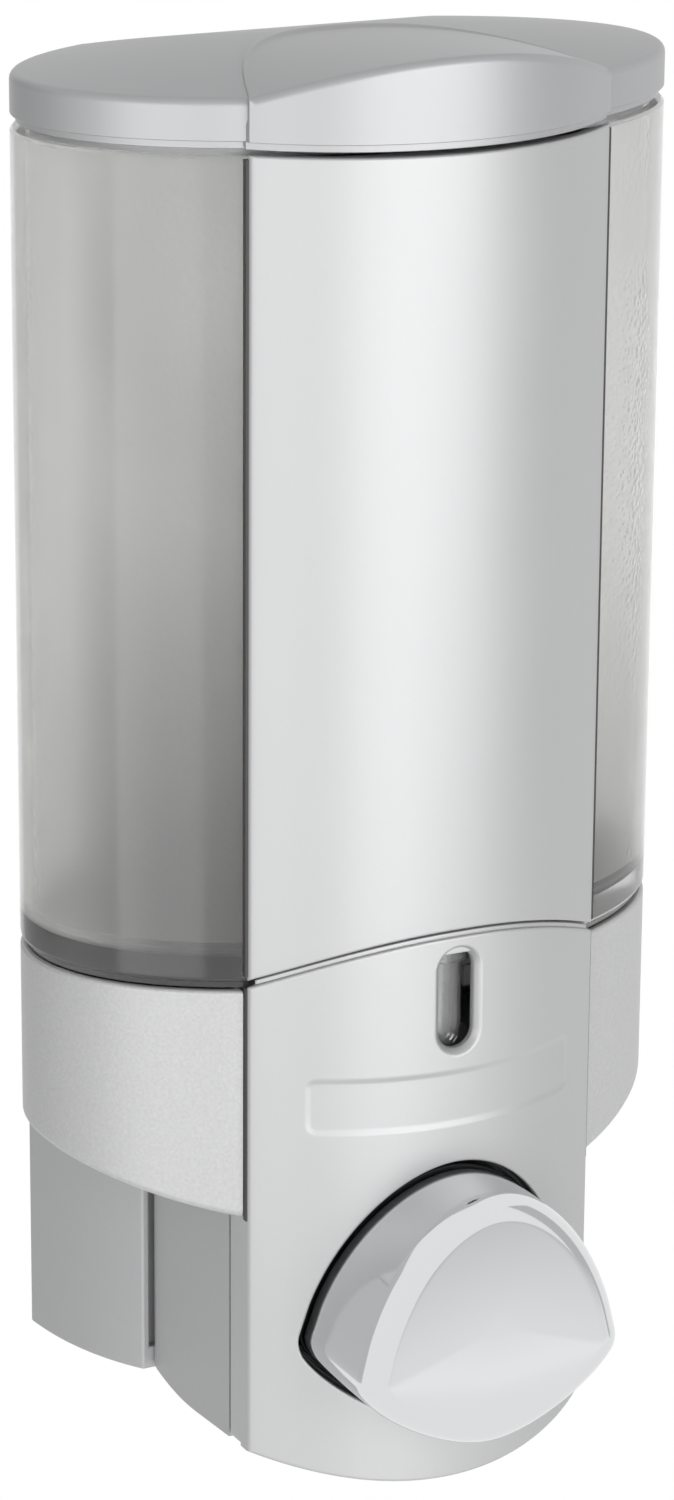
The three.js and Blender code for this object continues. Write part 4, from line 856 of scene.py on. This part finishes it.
def shield(inset):
    """The button opening in front view: an arched top, two blunt side corners and a round foot."""
    right = curve_through([(0, 44.3), (9.5, 44.3), (18.7, 33.9), (21.6, 19.6)], 40)
    right += curve_through([(21.6, 19.6), (22.2, 17.6), (21.3, 15.6)], 8)[1:]
    right += curve_through([(21.3, 15.6), (18.4, 10.5), (7.5, 4), (0, 4)], 26)[1:]
    line = (right + [(-x, z) for x, z in right[-2:0:-1]])[::-1]
    edges = []
    for (ax, az), (bx, bz) in zip(line, line[1:] + line[:1]):
        size = math.hypot(bx - ax, bz - az)
        out = ((bz - az) / size, (ax - bx) / size)
        edges.append((out, ax * out[0] + (az - PUSH_Z) * out[1] - inset))
    drawn = []
    for x, z in line:
        size = math.hypot(x, z - PUSH_Z)
        ray = (x / size, (z - PUSH_Z) / size)
        reach = min(far / (ray[0] * out[0] + ray[1] * out[1]) for out, far in edges
                    if ray[0] * out[0] + ray[1] * out[1] > 0.05)
        drawn.append((ray[0] * reach, PUSH_Z + ray[1] * reach))
    return drawn


def slot_line(steps=24):
    line = []
    for side in (1, -1):
        for i in range(steps + 1):
            a = math.pi * i / steps
            line.append((side * SLOT_RADIUS * math.cos(a),
                         SLOT_Z + side * (SLOT_REACH + SLOT_RADIUS * math.sin(a))))
    return line


def eased(t):
    t = min(1.0, max(0.0, t))
    return t * t * (3 - 2 * t)


def panel_dents(x, z):
    """How far the panel's front is sunk: the funnel round the slot, and the label field."""
    from_slot = math.hypot(x, max(0.0, abs(z - SLOT_Z) - SLOT_REACH)) - SLOT_RADIUS
    funnel = FUNNEL_DEPTH * (1 - eased((from_slot + 0.1) / 1.1))
    dx = abs(x) - (LABEL_HALF - LABEL_CORNER)
    dz = abs(z - LABEL_Z) - (LABEL_HIGH - LABEL_CORNER)
    out = math.hypot(max(dx, 0), max(dz, 0)) + min(max(dx, dz), 0) - LABEL_CORNER
    return funnel + LABEL_DEPTH * (1 - eased((out + 0.6) / 1.1))


panel_outline = ([(x, smile(x)) for x in widths]
                 + [(x, arch(x) - HALF_SEAM) for x in reversed(widths)])
fine_across = sorted(set(spaced(-27.0, 27.0, STEP) + spaced(-4.8, 4.8, 0.3)
                         + spaced(20.2, 21.6, 0.2) + spaced(-21.6, -20.2, 0.2)))
fine_up = (spaced(49.6, 51.0, 0.2) + spaced(51.2, 57.0, 1.9) + spaced(57.4, 58.8, 0.2)
           + spaced(59.4, 64.2, 0.3) + spaced(65, 73, 2.0) + spaced(73.4, 78.2, 0.3))
panel = pressed_plate("lower_panel", [panel_outline, shield(0), slot_line()], COVER, 0.35,
                      fine_across, fine_up, panel_dents)
fitted(panel, cover_silver, "cover_silver", "dispenser", "lower_front_panel")
inner = [x for x in widths if abs(x) < 27]
step_outline = [(x, arch(x) - 3.2) for x in inner] + [(x, arch(x) + 0.1) for x in reversed(inner)]
step = pressed_plate("panel_step", [step_outline], 1.2, 0.2, spaced(-26.0, 26.0, STEP),
                     set_back=0.55)
fitted(step, cover_silver, "cover_silver", "dispenser")
returns = blank("panel_returns", [box(side * 26.8 - 0.98, side * 26.8 + 0.98, -26.2, -21.3, 0.3, 37)
                                  for side in (1, -1)])
fitted(rounded(returns, 0.3), cover_silver, "cover_silver", "dispenser")
hollow_posts = [turned([(1.4, -12), (2.6, -12), (2.6, -1.9), (1.4, -1.9), (1.4, -12)], spot, "Y", 32)
                for spot in PANEL_SCREWS]
solid_posts = [rod(2.6, face_y(25.2, 1), -12, spot, "Y", 32) for spot in PANEL_SCREWS]
screw_posts = blank("panel_posts", hollow_posts + solid_posts)
fitted(rounded(screw_posts), cover_silver, "cover_silver", "dispenser")
shelf = [x for x in widths if abs(x) < 26]
shelf_line = ([(x, face_y(x, 1.5)) for x in shelf]
              + [(x, -32.5 * math.sqrt(1 - (x / 49.8) ** 2)) for x in reversed(shelf)])
shelf_skin = stacked([[(x, y, z) for x, y in shelf_line] for z in (187.7, 189.6)])
uprights = [box(x - 0.7, x + 0.7, face_y(12, 1.5), -31.6, 82, 187.7) for x in (12, -12)]
backing = blank("cover_backing", [shelf_skin] + uprights)
fitted(rounded(backing), cover_silver, "cover_silver", "dispenser")

# Near-black strips in the gaps between the covers' side edges and the bottle, and beside the panel:
# painted shadow of the seams.
painted_seam_shadow = moulding("painted_seam_shadow", (0.05, 0.047, 0.046), 0.6, relief=0.008)
for name, low, high, corners in (
        ("cover_seam_shadow_strips", 73.2, 189.4,
         ((27.2, -27.1), (28.17, -27.0), (28.17, -26.12), (27.2, -26.52))),
        ("panel_seam_shadow_strips", 36.0, 71.4,
         ((27.4, -26.9), (27.97, -26.9), (27.97, -26.0), (27.4, -26.0)))):
    ribs = blank(name, [stacked([[(side * x, y, z) for x, y in corners] for z in (low, high)])
                        for side in (1, -1)])
    fitted(rounded(ribs), painted_seam_shadow, "grey_plastic", "dispenser")

seal = pressed_plate("wiper_ring", [shield(-2.4), shield(0.7)], 1.2, 0.25,
                     spaced(-24.0, 24.0, STEP), set_back=2.3)
fitted(seal, rubber, "black_rubber", "dispenser", "button_seal")

# Push button: a moulded shell plated in bright chrome, with a rolled front edge, that slides in
# the panel's opening and pushes the plunger rod. The two lamps leave it out, so that it mirrors
# the white room and the grey cards.
GAP, ROLL, BUTTON_REAR, BUTTON_EDGE = 1.0, 3.6, -27, -51.3
shell = [[(x, BUTTON_REAR, z) for x, z in shield(GAP)]]
shell += [[(x, BUTTON_EDGE + ROLL * (1 - s), z) for x, z in shield(GAP + ROLL * c)]
          for s, c in quarter(12)]
front_ring = shell[-1]
for k in range(1, 13):
    share = 1 - k / 13
    shell.append([(x * share, BUTTON_EDGE - 0.4 * (1 - share ** 2),
                   PUSH_Z + (z - PUSH_Z) * share) for x, y, z in front_ring])
button = blank("button_shell", [stacked(shell)])
worked(button, "DIFFERENCE", tool(stacked(
    [[(x, y, z) for x, z in shield(i)] for i, y in ((3.0, -22), (3.0, -46.1), (6.6, -49.7))])))
worked(button, "UNION", tool(rod(5, -50.5, -44, (0, PUSH_Z), "Y")))
worked(button, "DIFFERENCE", tool(rod(3.3, -47.7, -40, (0, PUSH_Z), "Y")))
chrome = moulding("chrome_plate", (0.72, 0.727, 0.735), 0.09, 1.0, flecks=3000.0, fleck_depth=0.02,
                  clouds=0.02, gloss_change=0.03, relief=0.0005)
fitted(rounded(button), chrome, "chrome", "button", "push_button")
mirrors = bpy.data.collections.new("mirrors_no_lamp")
mirrors.objects.link(button)
mirrors.collection_objects[0].light_linking.link_state = "EXCLUDE"
for lamp in lamps:
    lamp.light_linking.receiver_collection = mirrors

# Lid: one moulding in cool satin silver. A shallow dome over the oval, a lip set in at its foot,
# and a leaf-shaped crown whose front follows the curved face and rises to an arched edge.
LID_FOOT, LIP_TOP = 190.6, 191.7
DOME_FOOT, DOME_ROLL, DOME_RISE = 197.5, 1.2, 2.9
CROWN_RISE, CROWN_ROLL = 5.5, 1.2
LEAF_REAR, LEAF_ROLL, LEAF_RIDGE = 3.5, 0.5, 0.45  # how far behind the middle it reaches
lid_rings = [oval(0.9, LID_FOOT), oval(0.8, LID_FOOT + 0.1), oval(0.8, LIP_TOP),
             oval(0.1, LIP_TOP), oval(0, LIP_TOP + 0.1)]
lid_rings += [oval(DOME_ROLL * c, DOME_FOOT - DOME_ROLL + DOME_ROLL * s) for s, c in quarter()]


def dome(share):
    return DOME_FOOT + DOME_RISE * (1 - share ** 2)


for k in range(1, 20):
    share = 1 - k / 20
    lid_rings.append([(x * share, y * share, dome(share)) for x, y, z in oval(DOME_ROLL, 0)])
lid = blank("lid_cap", [stacked(lid_rings)])


def crown_slice(x):
    """The crown cut across: up its front, round the arched edge, back over the leaf and down."""
    away = abs(x / FACE_HALF)
    front, lip = face_y(x), face_y(x, 0.8)
    rear = max(front + 0.4, LEAF_REAR - (LEAF_REAR + FACE_CORNER) * away ** 2.6)
    shrink = min(1.0, (rear - front) / 2.4)
    roll_front, roll_rear = CROWN_ROLL * shrink, LEAF_ROLL * shrink
    top = DOME_FOOT + CROWN_RISE * (1 - away ** 2.1)
    share = min(1.0, math.hypot(x / HALF, rear / (FRONT if rear < 0 else REAR)))
    end = dome(share) + 0.4 * (1 - away ** 2)
    line = [(lip + 0.1, LID_FOOT), (lip, LID_FOOT + 0.1), (lip, LIP_TOP), (front + 0.1, LIP_TOP),
            (front, LIP_TOP + 0.1)]
    line += [(front + roll_front * c, top - roll_front * (1 - s)) for s, c in quarter(6)]
    ridge = LEAF_RIDGE * (1 - away ** 2)
    for t in [k / 12 for k in range(1, 12)] + [0.935 + 0.006 * k for k in range(10)]:
        line.append((front + roll_front + (rear - roll_rear - front - roll_front) * t,
                     top + (end - top) * t + ridge * eased((t - 0.945) / 0.035)))
    line += [(rear - roll_rear * (1 - s), end + ridge - roll_rear * c) for s, c in quarter(4)]
    return [(x, y, z) for y, z in line] + [(x, rear, 194.6), (x, lip + 2.0, 192.0)]


crown = blank("crown", [stacked([crown_slice(x) for x in spaced(-FACE_HALF, FACE_HALF, 0.6)])])
worked(lid, "UNION", crown)
worked(lid, "DIFFERENCE", tool(stacked([oval(SKIN, 185.6), oval(SKIN, 194.5)])),
       tool(box(-14.9, 14.9, 17.6, 29, 185.6, 195.5)))
rib_rings = [oval(2.8, 194.9, 17.3), oval(2.8, 188.9, 17.3), oval(3.1, 188.6, 17.3),
             oval(3.9, 188.6, 16.2), oval(4.2, 188.9, 15.9), oval(4.2, 194.9, 15.9)]
rib = blank("locating_rib", [stacked(rib_rings + rib_rings[:1], closed=False)])
worked(lid, "UNION", rib, tool(rod(2.9, -11, 11, HINGE, "X", 40)),
       tool(box(-11, 11, 18.3, HINGE[0], HINGE[1], 196.3)))
worked(lid, "DIFFERENCE", tool(rod(1.7, -14.3, 14.3, HINGE, "X", 24)))
# The lid's silver is the covers' satin silver made darker: painted shade for the lesser light that
# falls on its top.
lid_silver = moulding("lid_silver", (0.42, 0.422, 0.428), 0.42, 0.5, flecks=7000.0,
                      fleck_depth=0.07, relief=0.004)
fitted(rounded(lid), lid_silver, "lid_silver", "lid", "lid")
